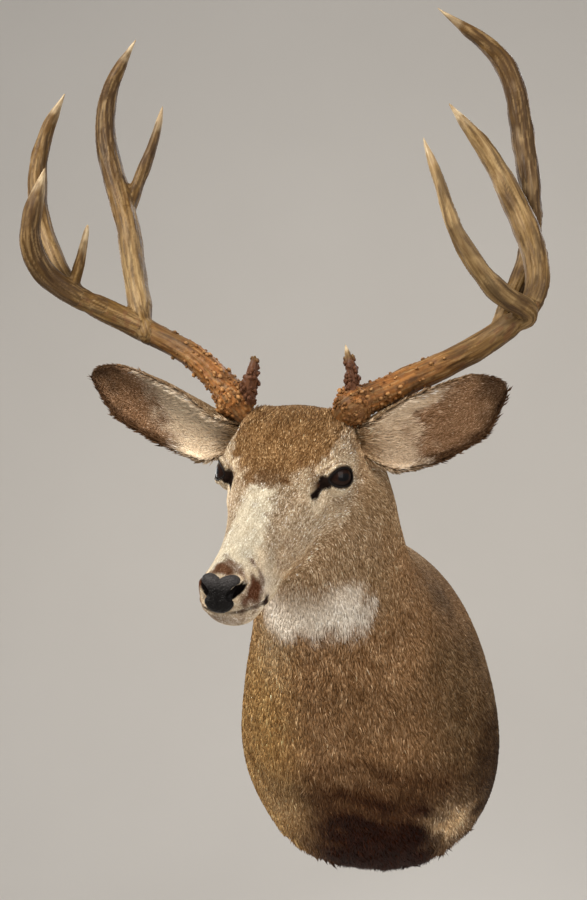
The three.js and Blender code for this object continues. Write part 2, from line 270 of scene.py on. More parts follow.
def shown(name: str, data: ID) -> Object:
    """Adds an object that shows a mesh, a curve, a light or a camera to the scene."""
    made = bpy.data.objects.new(name, data)
    bpy.context.scene.collection.objects.link(made)
    return made


def piece(name: str, form: BMesh) -> Object:
    """Makes an object of a form, smoothly shaded, and lets the form go.

    Args:
        name: the piece's name.
        form: its shape, in metres.

    Returns:
        The object, linked to the scene.
    """
    mesh = bpy.data.meshes.new(name)
    for face in form.faces:
        face.smooth = True
    form.to_mesh(mesh)
    form.free()
    return shown(name, mesh)


def joined(forms: Iterable[BMesh]) -> BMesh:
    """Adds several forms into one and lets them go."""
    whole = bmesh.new()
    for form in forms:
        shell = bpy.data.meshes.new("shell")
        form.to_mesh(shell)
        form.free()
        whole.from_mesh(shell)
        bpy.data.meshes.remove(shell)
    return whole


def repeated(name: str, points: Array, faces: Array) -> tuple[Mesh, Array]:
    """Makes one mesh of many like shells.

    Args:
        name: the mesh's name.
        points: an (n, k, 3) array of the n shells' vertices, in millimetres.
        faces: an (m, s) array of the vertices round each of a shell's m faces.

    Returns:
        The mesh, in metres, and the vertex at each corner of its faces.
    """
    count, corners = points.shape[:2]
    loops = (faces[None] + corners * np.arange(count)[:, None, None]).ravel()
    mesh = bpy.data.meshes.new(name)
    mesh.vertices.add(count * corners)
    mesh.vertices.foreach_set("co", (points * MM).astype(np.float32).ravel())
    mesh.loops.add(len(loops))
    mesh.loops.foreach_set("vertex_index", loops.astype(np.int32))
    mesh.polygons.add(count * len(faces))
    mesh.polygons.foreach_set("loop_start", np.arange(0, len(loops), faces.shape[1], dtype=np.int32))
    mesh.update(calc_edges=True)
    return mesh, loops


def scattered(name: str, form: BMesh, places: Array, turns: Array) -> Mesh:
    """Repeats a small form at many places, as one mesh.

    Args:
        name: the mesh's name.
        form: the form, in millimetres, which is let go.
        places: an (n, 3) array, in millimetres.
        turns: an (n, 3, 3) array that turns and scales each one.

    Returns:
        The mesh, in metres.
    """
    corners = np.array([v.co for v in form.verts])
    faces = np.array([[v.index for v in f.verts] for f in form.faces])
    form.free()
    mesh, _ = repeated(name, np.einsum("nij,kj->nki", turns, corners) + places[:, None], faces)
    return mesh


def apply_modifiers(made: Object) -> None:
    """Turns a piece's modifiers into its mesh."""
    graph = bpy.context.evaluated_depsgraph_get()
    result = bpy.data.meshes.new_from_object(made.evaluated_get(graph))
    old = made.data
    made.modifiers.clear()
    made.data = result
    bpy.data.meshes.remove(old)


def fuse(made: Object, voxel: float) -> None:
    """Fuses the overlapping shells of a piece into one skin.

    Args:
        made: the piece.
        voxel: the size of the steps, in millimetres.
    """
    remesh = made.modifiers.new("fuse", "REMESH")
    remesh.mode = "VOXEL"
    remesh.voxel_size = voxel * MM
    remesh.use_smooth_shade = True
    apply_modifiers(made)


def discard(made: Object) -> None:
    """Removes a helper object and its mesh."""
    mesh = made.data
    bpy.data.objects.remove(made)
    bpy.data.meshes.remove(mesh)


def finish_piece(made: Object, material: Material,
                 replaces: Sequence[str] = ()) -> None:
    """Dresses a piece, lets it ride on the mount and logs it.

    Args:
        made: the piece.
        material: its material.
        replaces: the solids that the piece stands for.
    """
    made.data.materials.clear()
    made.data.materials.append(material)
    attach(made, BODY)
    if replaces:
        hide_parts(*replaces)
    LOG.info("%s: %d faces", made.name, len(made.data.polygons))


# ---------- The head's place ----------


@dataclass(frozen=True)
class HeadPlace:
    """Where the head sits: millimetres and degrees. Its own frame has the origin midway between the eyes."""

    origin: Point = (-71.5, -477.5, 270.6)
    turn: float = 12.9
    nod: float = 24.1
    tilt: float = 6.3

    def axes(self) -> Array:
        """The head's axes as the columns of a matrix: its left, its back and its up."""
        turned = Matrix.Rotation(math.radians(-self.turn), 3, "Z")
        nodded = Matrix.Rotation(math.radians(self.nod), 3, "X")
        tilted = Matrix.Rotation(math.radians(self.tilt), 3, "Y")
        return np.array(turned @ nodded @ tilted)

    def out(self, points: Array) -> Array:
        """Takes points from the head's frame to the mount's."""
        return points @ self.axes().T + np.asarray(self.origin)

    def into(self, points: Array) -> Array:
        """Takes points from the mount's frame to the head's."""
        return (points - np.asarray(self.origin)) @ self.axes()


HEAD = HeadPlace()


def in_head(mesh: Mesh) -> tuple[Array, Array]:
    """The vertices of a mesh and their normals in the head's frame."""
    return HEAD.into(coordinates(mesh)), normals(mesh) @ HEAD.axes()


# ---------- Flesh forms ----------


@dataclass(frozen=True)
class Swelling:
    """A soft bump or hollow on both sides: its place, how far it reaches and how high it stands, in mm."""

    side: float
    forward: float
    up: float
    reach: float
    lift: float


def relief(swellings: Sequence[Swelling], points: Array) -> Array:
    """Adds up how far a form's bumps and hollows push its surface out.

    Args:
        swellings: the bumps and hollows.
        points: an (..., 3) array in the form's own frame.

    Returns:
        Millimetres outwards for each point.
    """
    total = np.zeros(points.shape[:-1])
    for s in swellings:
        offset = np.stack([np.abs(points[..., 0]) - s.side, points[..., 1] + s.forward,
                           points[..., 2] - s.up], -1)
        total += s.lift * np.exp(-np.sum(offset * offset, -1) / s.reach**2)
    return total


@dataclass(frozen=True)
class BodyForm:
    """Trunk and neck, as one form from the wall to inside the head, in the mount's frame.

    Each section gives the back line's Y and Z, the chest line's Y and Z, the middle's X, half the width,
    where between the back and the chest it is widest, and how square the back and the chest are.
    """

    coat_depth: float = 6.0
    board_inset: float = 16.4
    board_depth: float = 19.4
    cap_share: float = 0.12
    sections: tuple[tuple[float, ...], ...] = (
        (-1, 231, -1, -245, 1, 179, 0.61, 2.1, 2.2),
        (-34, 235, -44, -255, 1, 187, 0.61, 2, 2.25),
        (-84, 240, -110, -240, 0, 186, 0.61, 1.85, 2.3),
        (-134, 246, -194, -200, -4, 175, 0.6, 1.65, 2.25),
        (-184, 258, -274, -134, -10, 154, 0.58, 1.5, 2.15),
        (-229, 278, -336, -54, -17, 129, 0.57, 1.45, 2.1),
        (-267, 301, -380, 22, -24, 109, 0.55, 1.5, 2.1),
        (-300, 322, -412, 84, -28, 99, 0.52, 1.7, 2.1),
        (-332, 341, -436, 130, -31, 94, 0.5, 1.95, 2.1),
        (-368, 354, -452, 164, -39, 90, 0.47, 2.05, 2),
        (-410, 348, -464, 198, -50, 73, 0.5, 2, 2),
        (-440, 318, -464, 238, -60, 34, 0.5, 2, 2),
    )
    swellings: tuple[Swelling, ...] = (
        Swelling(side=118, forward=44, up=-210, reach=32, lift=-18),  # notch beside the brisket
        Swelling(side=150, forward=130, up=-60, reach=70, lift=5),  # point of the shoulder
    )

    def centre(self, t: Array) -> Array:
        """The middle of the section a share t of the way from the wall."""
        back_y, back_z, chest_y, chest_z, middle, *_ = columns(self.sections, t)
        return np.stack([middle, (back_y + chest_y) / 2, (back_z + chest_z) / 2], -1)

    def surface(self, t: Array, angle: Array, grow: float = 0.0) -> Array:
        """The outer surface of the hair.

        Args:
            t: shares of the way from the wall to the head.
            angle: angles round the section, 0 at the animal's left and a quarter turn at its back.
            grow: millimetres outwards.

        Returns:
            Points in millimetres.
        """
        (back_y, back_z, chest_y, chest_z, middle, half, widest,
         back_power, chest_power) = columns(self.sections, t)
        power = np.where(np.sin(angle) > 0, back_power, chest_power)
        across, down = squared(np.cos(angle), power), squared(-np.sin(angle), power)
        share = np.where(down < 0, widest * (1 + down), widest + (1 - widest) * down)
        point = np.stack([middle + half * across, back_y + (chest_y - back_y) * share,
                          back_z + (chest_z - back_z) * share], -1)
        push = grow + np.where(t > 0, relief(self.swellings, point), 0.0)
        return point + unit(point - self.centre(t)) * push[..., None]

    def place(self, t: Array, angle: Array) -> Array:
        """The skin under the hair, hollowed at the wall for the back board."""
        along = np.clip((t - self.cap_share) / (1 - self.cap_share - 0.01), 0.0, 1.0)
        skin = self.surface(along, angle, -self.coat_depth)
        centre = self.centre(along)
        edge = self.surface(np.zeros_like(t), angle)
        middle = self.centre(np.zeros_like(t))
        middle[:, 0] = 0.0
        reach = np.linalg.norm(edge - middle, axis=-1)
        inner = (reach - self.board_inset) / (reach - self.coat_depth)
        cap = t / self.cap_share
        lip = np.where(cap < 0.6, inner, inner + (1 - inner) * (cap - 0.6) / 0.4)
        share = np.where(cap < 0.5, inner * cap / 0.5, lip)
        share = np.minimum(share, np.minimum(1.0, (1.0 - t) * 100))[:, None]
        middle[:, 1] = skin[:, 1]
        point = np.where((cap < 1)[:, None], middle, centre) * (1 - share) + skin * share
        hollow = np.interp(cap, [0.0, 0.5, 0.6, 1.0], [self.board_depth, self.board_depth, 0.0, 0.0])
        point[:, 1] -= hollow
        return point


@dataclass(frozen=True)
class HeadForm:
    """Skull and face, in the head's frame.

    Each section gives how far forward it lies, its top and bottom, half its width, the level where it is
    widest, and how square it is above and below that level.
    """

    face_depth: float = 1.2
    crown_depth: float = 4.0
    sections: tuple[tuple[float, ...], ...] = (
        (212, -64, -82, 10, -72, 2.2, 2.2),
        (209, -58, -92, 19, -73, 2.3, 2.2),
        (202, -52, -105, 27, -77, 2.2, 2.1),
        (190, -45, -116, 31.5, -82, 2.1, 2.1),
        (172, -38, -122, 34, -85, 2, 2.2),
        (145, -28, -118, 34, -80, 2, 2.1),
        (115, -16, -115, 36, -66, 2.2, 2),
        (85, -3, -116, 42, -50, 2.4, 1.9),
        (58, 11, -119, 50, -34, 2.5, 1.75),
        (34, 25, -122, 59, -18, 2.6, 1.6),
        (16, 37, -126, 68, -4, 2.6, 1.55),
        (-4, 50, -129, 81, 0, 2.6, 1.55),
        (-26, 64, -131, 86, 0, 2.5, 1.55),
        (-54, 73, -127, 84, -4, 2.3, 1.65),
        (-84, 70, -114, 79, -8, 2.1, 1.8),
        (-110, 56, -92, 68, -12, 2, 1.9),
        (-128, 28, -66, 46, -18, 2, 2),
    )
    swellings: tuple[Swelling, ...] = (
        Swelling(side=66, forward=6, up=26, reach=17, lift=5),  # brow
        Swelling(side=80, forward=-20, up=4, reach=16, lift=2),  # rear of the eye socket
        Swelling(side=62, forward=34, up=-30, reach=20, lift=4),  # cheek ridge
        Swelling(side=56, forward=36, up=-8, reach=11, lift=-4),  # tear pit
        Swelling(side=56, forward=-30, up=-70, reach=34, lift=6),  # jaw muscle
        Swelling(side=40, forward=100, up=-78, reach=22, lift=-4),  # hollow behind the mouth
        Swelling(side=27, forward=196, up=-64, reach=10, lift=4),  # nostril wing
        Swelling(side=30, forward=178, up=-94, reach=14, lift=3),  # upper lip
        Swelling(side=30, forward=178, up=-107, reach=6, lift=-3),  # groove above the chin
        Swelling(side=60, forward=-62, up=60, reach=26, lift=9),  # stem under the antler
        Swelling(side=24, forward=118, up=-112, reach=26, lift=7),  # depth of the jaw
    )

    def surface(self, t: Array, angle: Array) -> Array:
        """The skin of the head.

        Args:
            t: shares of the way from the nose to the back of the skull.
            angle: angles round the section, 0 at the animal's left and a quarter turn on top.

        Returns:
            Points in millimetres.
        """
        forward, top, bottom, half, level, upper_power, lower_power = columns(self.sections, t)
        above = np.sin(angle) > 0
        power = np.where(above, upper_power, lower_power)
        rise = np.where(above, top - level, level - bottom)
        edge = np.stack([half * squared(np.cos(angle), power), -forward,
                         level + rise * squared(np.sin(angle), power)], -1)
        centre = np.stack([np.zeros_like(level), -forward, level], -1)
        depth = self.face_depth + (self.crown_depth - self.face_depth) * smooth(60, -40, forward)
        return edge + unit(edge - centre) * (relief(self.swellings, edge) - depth)[..., None]

    def place(self, t: Array, angle: Array) -> Array:
        """The closed form in the mount's frame, with its two ends drawn together."""
        ends = 60
        along = np.clip((t * ends - 1) / (ends - 2), 0.0, 1.0)
        forward, _, _, _, level, _, _ = columns(self.sections, along)
        centre = np.stack([np.zeros_like(t), -forward, level], -1)
        share = closing(t, ends)[:, None]
        return HEAD.out(centre + (self.surface(along, angle) - centre) * share)


@dataclass(frozen=True)
class EarForm:
    """One ear: a cupped leaf in the head's frame, drawn in a little so that its fringe reaches the edge.

    Each section gives half its width, how far each edge wraps forward in degrees, and its sag.
    """

    root: Point
    tip: Point
    facing: Point
    spread: float
    droop: float
    thickness: float = 3.0
    drawn_in: float = 2.0
    sections: tuple[tuple[float, ...], ...] = (
        (16, 130, 0), (28, 110, 0), (38, 86, 1), (43, 70, 3), (45, 60, 4),
        (44, 53, 4), (41, 47, 3), (36, 42, 1), (29, 36, 0),
    )

    def directions(self) -> tuple[Array, Array, Array]:
        """The line from root to tip, the way that the cup's back points, and the way across it."""
        line = np.subtract(self.tip, self.root).astype(float)
        facing = unit(np.asarray(self.facing, float))
        away = unit(facing - line * (facing @ line) / (line @ line))
        wide = unit(np.cross(away, line))
        return line, away, wide if wide[2] > 0 else -wide

    def surface(self, t: Array, angle: Array) -> Array:
        """The skin of the ear.

        Args:
            t: shares of the way from root to tip.
            angle: angles round the leaf, 0 at its upper edge; the side of positive sine is its back.

        Returns:
            Points in the head's frame, in millimetres.
        """
        line, away, wide = self.directions()
        half, wrap, sag = columns(self.sections, t)
        curl = np.radians(wrap)
        radius = (half * self.spread - self.drawn_in) / np.sin(np.minimum(curl, np.pi / 2))
        close = np.sqrt(closing(t, 5))
        turn = curl * np.cos(angle) * close
        rim = np.sqrt(np.maximum(0.0, 1 - np.cos(angle) ** 4))
        thick = self.thickness / 2 * np.sign(np.sin(angle)) * rim * close
        length = t * (1 - self.drawn_in / np.linalg.norm(line))
        return (np.asarray(self.root, float) + line * length[..., None]
                + wide * ((radius + thick) * np.sin(turn) - sag * self.droop)[..., None]
                + away * (radius * (1 - np.cos(turn)) - thick * np.cos(turn))[..., None])

    def place(self, t: Array, angle: Array) -> Array:
        """The skin in the mount's frame."""
        return HEAD.out(self.surface(t, angle))


BODY_FORM = BodyForm()
HEAD_FORM = HeadForm()
LEFT_EAR = EarForm(root=(60, 84, 23), tip=(247, 146, 86), facing=(0.22, -0.94, -0.26), spread=1.11, droop=1)
RIGHT_EAR = EarForm(root=(-71, 82, 24), tip=(-285, 64, 106), facing=(-0.06, -0.96, -0.3), spread=1.08,
                    droop=-0.5)


class Side(Enum):
    """The animal's own left and right."""

    LEFT = 1
    RIGHT = -1

    @property
    def word(self) -> str:
        """The side's name as pieces and solids spell it."""
        return self.name.lower()


# ---------- Eyes' place ----------


@dataclass(frozen=True)
class EyePlace:
    """Where an eye sits in the head's frame, which way it looks, how far its lids open in degrees, and how
    far from its middle the lids and their hair reach."""

    side: float = 65.0
    back: float = -1.0
    up: float = 1.0
    radius: float = 21.0
    outward: float = 57.0
    upward: float = 13.0
    slant: float = 1.0
    half_width: float = 54.0
    above: float = 31.0
    below: float = 30.0
    reach: float = 60.0

    def centre(self, side: Side) -> Array:
        """The middle of the ball."""
        return np.array([side.value * self.side, self.back, self.up])

    def axes(self, side: Side) -> Array:
        """Rows: the way across the eye towards its front corner, up, and the way that it looks."""
        out, up, slant = (math.radians(a) for a in (self.outward, self.upward, self.slant))
        look = np.array([math.sin(out) * math.cos(up), -math.cos(out) * math.cos(up), math.sin(up)])
        ahead = unit(np.cross(look, [0.0, 0.0, 1.0]))
        ahead = -ahead if ahead[1] > 0 else ahead
        high = np.cross(look, ahead)
        high = high if high[2] > 0 else -high
        front = ahead * math.cos(slant) - high * math.sin(slant)
        top = high * math.cos(slant) + ahead * math.sin(slant)
        rows = np.array([front, top, look])
        rows[:, 0] *= side.value
        return rows

    def angles(self, side: Side, points: Array) -> tuple[Array, Array, Array, Array]:
        """Reads points as seen from the middle of the ball.

        Args:
            side: which eye.
            points: an (n, 3) array in the head's frame.

        Returns:
            Degrees towards the front corner, degrees up, degrees off the line of sight, and the distance.
        """
        local = (points - self.centre(side)) @ self.axes(side).T
        distance = np.linalg.norm(local, axis=1)
        off = np.degrees(np.arccos(np.clip(local[:, 2] / np.maximum(distance, 1e-6), -1, 1)))
        flat = np.maximum(np.hypot(local[:, 0], local[:, 1]), 1e-6)
        return off * local[:, 0] / flat, off * local[:, 1] / flat, off, distance

    def openness(self, across: Array, up: Array) -> Array:
        """How far out of the opening between the lids a place lies: 0 in its middle and 1 at its edge."""
        half = np.where(up > 0, self.above, self.below)
        return np.abs(across / self.half_width) ** 1.9 + np.abs(up / half) ** 1.7

    def rim(self, side: Side, steps: int, distance: float) -> Array:
        """Points round the edge of the lids, in the head's frame.

        Args:
            side: which eye.
            steps: how many points.
            distance: how far they lie from the middle of the ball.

        Returns:
            A (steps, 3) array, from the front corner over the top.
        """
        turn = np.arange(steps) * 2 * np.pi / steps
        ray = np.stack([np.cos(turn), np.sin(turn)], -1)
        low, high = np.zeros(steps), np.full(steps, 90.0)
        for _ in range(24):
            middle = (low + high) / 2
            inside = self.openness(ray[:, 0] * middle, ray[:, 1] * middle) < 1
            low, high = np.where(inside, middle, low), np.where(inside, high, middle)
        off = np.radians(low)
        local = np.stack([ray[:, 0] * np.sin(off), ray[:, 1] * np.sin(off), np.cos(off)], -1) * distance
        return local @ self.axes(side) + self.centre(side)


EYE = EyePlace()


# ---------- Nose ----------


@dataclass(frozen=True)
class NoseForm:
    """The bare pad of the nose, in the head's frame: lobed above the nostrils and narrow between them.

    The outline gives half the width and the height of a few stations, from the notch on top to the lip.
    """

    forward: float = 205.0
    depth: float = 20.0
    up: float = -71.0
    half_height: float = 20.5
    lean: float = 17.0
    shift: float = -0.8
    outline: tuple[tuple[float, float], ...] = (
        (0, 0.78), (7, 0.93), (14.5, 0.99), (20.5, 0.84), (21.5, 0.54), (18.5, 0.26), (16, 0.0),
        (15.5, -0.24), (16.5, -0.42), (16, -0.6), (12.5, -0.84), (6.5, -1.0), (0, -1.05),
    )

    def place(self, t: Array, angle: Array) -> Array:
        """The pad's surface in the head's frame, before its nostrils are opened."""
        ring = squared(np.sin(np.pi * t), 3.4)
        turn = np.abs(np.mod(np.pi / 2 - angle + np.pi, 2 * np.pi) - np.pi) / np.pi
        half, height = columns(self.outline, turn)
        x = self.shift + half * np.where(np.cos(angle) < 0, -1, 1) * ring
        z = self.half_height * height * ring
        y = -(self.depth / 2) * squared(np.cos(np.pi * t), 3)
        crease = 1.1 * bell(x - self.shift, 1.6) * (t < 0.5) * smooth(0, 8, z + 20)
        lean = math.radians(self.lean)
        return np.stack([x, -self.forward + (y + crease) * math.cos(lean) + z * math.sin(lean),
                         self.up + z * math.cos(lean) - y * math.sin(lean)], -1)


NOSE_FORM = NoseForm()


# ---------- Antler forms ----------


class Path:
    """A smooth line through a few stations, read by its length, with a frame that doesn't twist."""

    def __init__(self, stations: Line, steps: int = 48) -> None:
        """Walks the line and keeps its points, directions and lengths.

        Args:
            stations: the points that the line passes through.
            steps: how many steps lie between two stations.
        """
        p = np.asarray(stations, float)
        p = np.concatenate([[2 * p[0] - p[1]], p, [2 * p[-1] - p[-2]]])
        walked = []
        u = np.linspace(0, 1, steps, endpoint=False)[:, None]
        for a, b, c, d in zip(p, p[1:], p[2:], p[3:]):
            g, h, k = (np.linalg.norm(q - r) ** 0.5 for q, r in ((a, b), (b, c), (c, d)))
            leave = ((b - a) / g - (c - a) / (g + h) + (c - b) / h) * h
            arrive = ((c - b) / h - (d - b) / (h + k) + (d - c) / k) * h
            ahead = (c - b) * u * u * (3 - 2 * u)
            walked.append(b + ahead + leave * u * (1 - u) ** 2 - arrive * u * u * (1 - u))
        self.points = np.concatenate(walked + [p[-2:-1]])
        strides = np.linalg.norm(np.diff(self.points, axis=0), axis=1)
        self.lengths = np.concatenate([[0.0], np.cumsum(strides)])
        self.heading = unit(np.gradient(self.points, axis=0))
        side = unit(np.cross(self.heading[0], [0.31, 0.23, 0.92]))
        sides = [side]
        for way in self.heading[1:]:
            side = unit(side - way * (side @ way))
            sides.append(side)
        self.side = np.array(sides)

    @property
    def length(self) -> float:
        """The line's whole length."""
        return float(self.lengths[-1])

    def read(self, values: Array, t: Array) -> Array:
        """Reads values that go with the line's points a share t of the way along it."""
        return np.stack([np.interp(t * self.length, self.lengths, column) for column in values.T], -1)

    def at(self, t: Array) -> Array:
        """The points a share t of the way along."""
        return self.read(self.points, t)

    def frame(self, t: Array) -> tuple[Array, Array, Array]:
        """The line's direction and two directions across it."""
        heading = unit(self.read(self.heading, t))
        side = self.read(self.side, t)
        side = unit(side - heading * np.sum(side * heading, -1, keepdims=True))
        return heading, side, np.cross(heading, side)


@dataclass(frozen=True)
class AntlerLength:
    """One length of an antler, from root to tip: the stations of its middle line in the head's frame, its
    radii, and its bleach, where -1 is darkly stained and 1 is pale."""

    name: str
    stations: tuple[Point, ...]
    girth: tuple[float, ...]
    bleach: tuple[float, ...]
    has_burr: bool = False
    burr_flare: float = 6.0
    burr_place: float = 0.13
    burr_reach: float = 0.035

    def path(self) -> Path:
        """The middle line."""
        return Path(self.stations)

    def radius(self, t: Array) -> Array:
        """The radius a share t of the way from root to tip."""
        plain = Smoothly([(g,) for g in self.girth]).at(t)[..., 0]
        if not self.has_burr:
            return plain
        return plain + self.burr_flare * bell(t - self.burr_place, self.burr_reach)

    def mould(self, step: float = 4.0) -> BMesh:
        """Pulls the length out of a sphere, in metres in the mount's frame."""
        path = self.path()
        rings = int(path.length / step)

        def place(t: Array, angle: Array) -> Array:
            """The surface a share t of the way along, at angles round the middle line."""
            _, side, across = path.frame(t)
            radius = self.radius(t) * np.sqrt(closing(t, 2 * (4 + 2 * len(self.stations)) / 3))
            ring = side * np.cos(angle)[:, None] + across * np.sin(angle)[:, None]
            return HEAD.out(path.at(t) + ring * radius[:, None])

        return mould(24, rings, place)

    def knuckle(self) -> BMesh:
        """The swelling that carries the length at its root."""
        form = bmesh.new()
        root = Vector(HEAD.out(np.array(self.stations[0])) * MM)
        bmesh.ops.create_icosphere(form, subdivisions=3, radius=0.92 * self.girth[0] * MM,
                                   matrix=Matrix.Translation(root))
        return form


LEFT_ANTLER = (
    AntlerLength("beam", ((49, 58, 43), (65, 61, 67), (122, 105, 93), (205, 155, 130), (269, 181, 174)),
                 (20, 19, 17.5, 16.5, 15), (0.1, 0.1, 0.2), has_burr=True),
    AntlerLength("front_tine", ((240, 169, 152), (266, 176, 170), (233, 131, 210), (195, 113, 271),
                                (170, 122, 336), (145.5, 141, 390)),
                 (13, 14, 12.8, 10, 7.6, 2.8), (0.3, 0.6, 0.9)),
    AntlerLength("upper_tine", ((236, 168, 150), (262, 180, 172), (274, 204, 203), (260, 236, 255),
                                (206, 267, 353), (150, 261, 429)),
                 (13, 15, 17, 15.5, 11.5, 3), (0.2, 0.2, 0.5, 0.5)),
    AntlerLength("rear_tine", ((220, 162, 136), (241, 212, 185), (255, 272, 251), (237, 335, 364),
                               (205, 364, 473), (116, 354, 551)),
                 (12, 13, 14, 15.5, 13, 3.2), (0.5, -0.5, -0.9, -0.7, 0.1)),
    AntlerLength("brow_tine", ((67, 61, 65), (72, 63, 99), (68, 70, 124), (60, 79, 148)),
                 (9, 8, 6, 2.4), (0, 0)),
)
RIGHT_ANTLER = (
    AntlerLength("beam", ((-59, 56, 44), (-73, 58, 66), (-138, 83, 121), (-238, 93, 168), (-310, 74, 208)),
                 (19, 18, 15.5, 16.5, 15), (0.1, 0.2, -0.1), has_burr=True),
    AntlerLength("front_tine", ((-270, 84, 187), (-303, 75, 205), (-335, 50, 242), (-342, 40, 287),
                                (-324, 62, 372)),
                 (14, 15.5, 15, 12, 3), (-0.2, -0.7, -0.6, 0.3)),
    AntlerLength("upper_tine", ((-272, 84, 188), (-304, 77, 207), (-362, 113, 275), (-388, 144, 344),
                                (-382, 168, 409), (-354, 185, 465)),
                 (12, 13, 12.5, 13, 10.5, 3), (-0.2, 0.4, 0, -0.1)),
    AntlerLength("small_tine", ((-308, 73, 213), (-298, 82, 248), (-290, 99, 298)),
                 (9, 6.5, 2.8), (0, 0)),
    AntlerLength("rear_tine", ((-212, 88, 154), (-243, 130, 206), (-278, 187, 282), (-333, 248, 399),
                               (-329, 264, 466), (-287, 277, 535)),
                 (15, 16.5, 16.5, 16, 12.5, 3.2), (0.1, 0.7, 0.4, -0.3, -0.9, -0.7, 0)),
    AntlerLength("rear_branch", ((-285, 194, 292), (-280, 234, 342), (-266, 263, 395), (-258, 284, 444)),
                 (10, 9.5, 7.5, 2.8), (-0.5, -0.4)),
    AntlerLength("brow_tine", ((-67, 54, 62), (-62, 56, 92), (-56, 61, 116), (-54, 67, 135)),
                 (10, 10, 8, 4), (0, 0)),
)


# ---------- Shader building ----------


class Shader:
    """A material whose nodes are added one by one."""

    def __init__(self, name: str, **sockets: float | tuple[float, ...]) -> None:
        """Starts a material with one Principled shader.

        Args:
            name: the material's name.
            sockets: constants for the shader, with underscores for the spaces in their names.
        """
        self.material = bpy.data.materials.new(name)
        self.material.use_nodes = True
        self.tree = self.material.node_tree
        self.surface = self.tree.nodes["Principled BSDF"]
        for socket, value in sockets.items():
            self.surface.inputs[socket.replace("_", " ")].default_value = value

    def add(self, kind: str, settings: dict[str, object] | None = None, **inputs: object) -> Node:
        """Adds a node.

        Args:
            kind: the node's type, without its prefix.
            settings: the node's own properties.
            inputs: constants or sockets for its inputs, with underscores for spaces, or _0 for the first.

        Returns:
            The node.
        """
        node = self.tree.nodes.new("ShaderNode" + kind)
        for key, value in (settings or {}).items():
            setattr(node, key, value)
        for key, value in inputs.items():
            socket = node.inputs[int(key[1:])] if key[1:].isdigit() else node.inputs[key.replace("_", " ")]
            if isinstance(value, NodeSocket):
                self.tree.links.new(value, socket)
            else:
                socket.default_value = value
        return node

    def feed(self, socket: str, source: NodeSocket) -> None:
        """Links a socket of the shader to a source."""
        self.tree.links.new(source, self.surface.inputs[socket])

    def place(self) -> NodeSocket:
        """The piece's own coordinates, in metres."""
        return self.add("TexCoord").outputs["Object"]

    def attribute(self, name: str, kind: str) -> NodeSocket:
        """Reads an attribute of the mesh as a Fac, a Color or a Vector."""
        return self.add("Attribute", {"attribute_name": name}).outputs[kind]

    def math(self, operation: str, first: object, second: object = 0.0) -> NodeSocket:
        """Works out one or two values by Blender's name for the operation."""
        return self.add("Math", {"operation": operation}, _0=first, _1=second).outputs[0]

    def noise(self, scale: float, detail: float = 3.0, rough: float = 0.5,
              where: NodeSocket | None = None) -> NodeSocket:
        """A cloudy value round 0.5: humps to the metre, finer layers, their strength, where it is read."""
        node = self.add("TexNoise", Vector=where or self.place(), Scale=scale, Detail=detail, Roughness=rough)
        return node.outputs["Fac"]

    def spread(self, value: NodeSocket, low: float, high: float, to_low: float = 0.0,
               to_high: float = 1.0) -> NodeSocket:
        """Stretches a value from one range to another, and holds it inside."""
        node = self.add("MapRange", {"clamp": True}, Value=value, From_Min=low, From_Max=high, To_Min=to_low,
                        To_Max=to_high)
        return node.outputs["Result"]

    def blend(self, share: float | NodeSocket, low: object, high: object,
              way: str = "MIX") -> NodeSocket:
        """Blends two colours.

        Args:
            share: how much of the second.
            low: the first colour or its socket.
            high: the second colour or its socket.
            way: Blender's name for the kind of blend.

        Returns:
            The blended colour's socket.
        """
        node = self.add("Mix", {"data_type": "RGBA", "blend_type": way}, _0=share)
        for socket, value in ((node.inputs[6], low), (node.inputs[7], high)):
            if isinstance(value, NodeSocket):
                self.tree.links.new(value, socket)
            else:
                socket.default_value = (*value, 1.0)
        return node.outputs[2]

    def bump(self, height: NodeSocket, depth: float, strength: float = 1.0,
             over: NodeSocket | None = None) -> NodeSocket:
        """Raises the surface's shading by a height.

        Args:
            height: the value to raise by.
            depth: how far a value of 1 stands up, in metres.
            strength: how much of it shows.
            over: a bump that lies under this one.

        Returns:
            The normal's socket.
        """
        node = self.add("Bump", Height=height, Distance=depth, Strength=strength)
        if over is not None:
            self.tree.links.new(over, node.inputs["Normal"])
        return node.outputs["Normal"]


# ---------- The lie of the coat ----------


class Form(Enum):
    """The forms that the skin is joined from."""

    BODY = 0
    HEAD = 1
    LEFT_EAR = 2
    RIGHT_EAR = 3


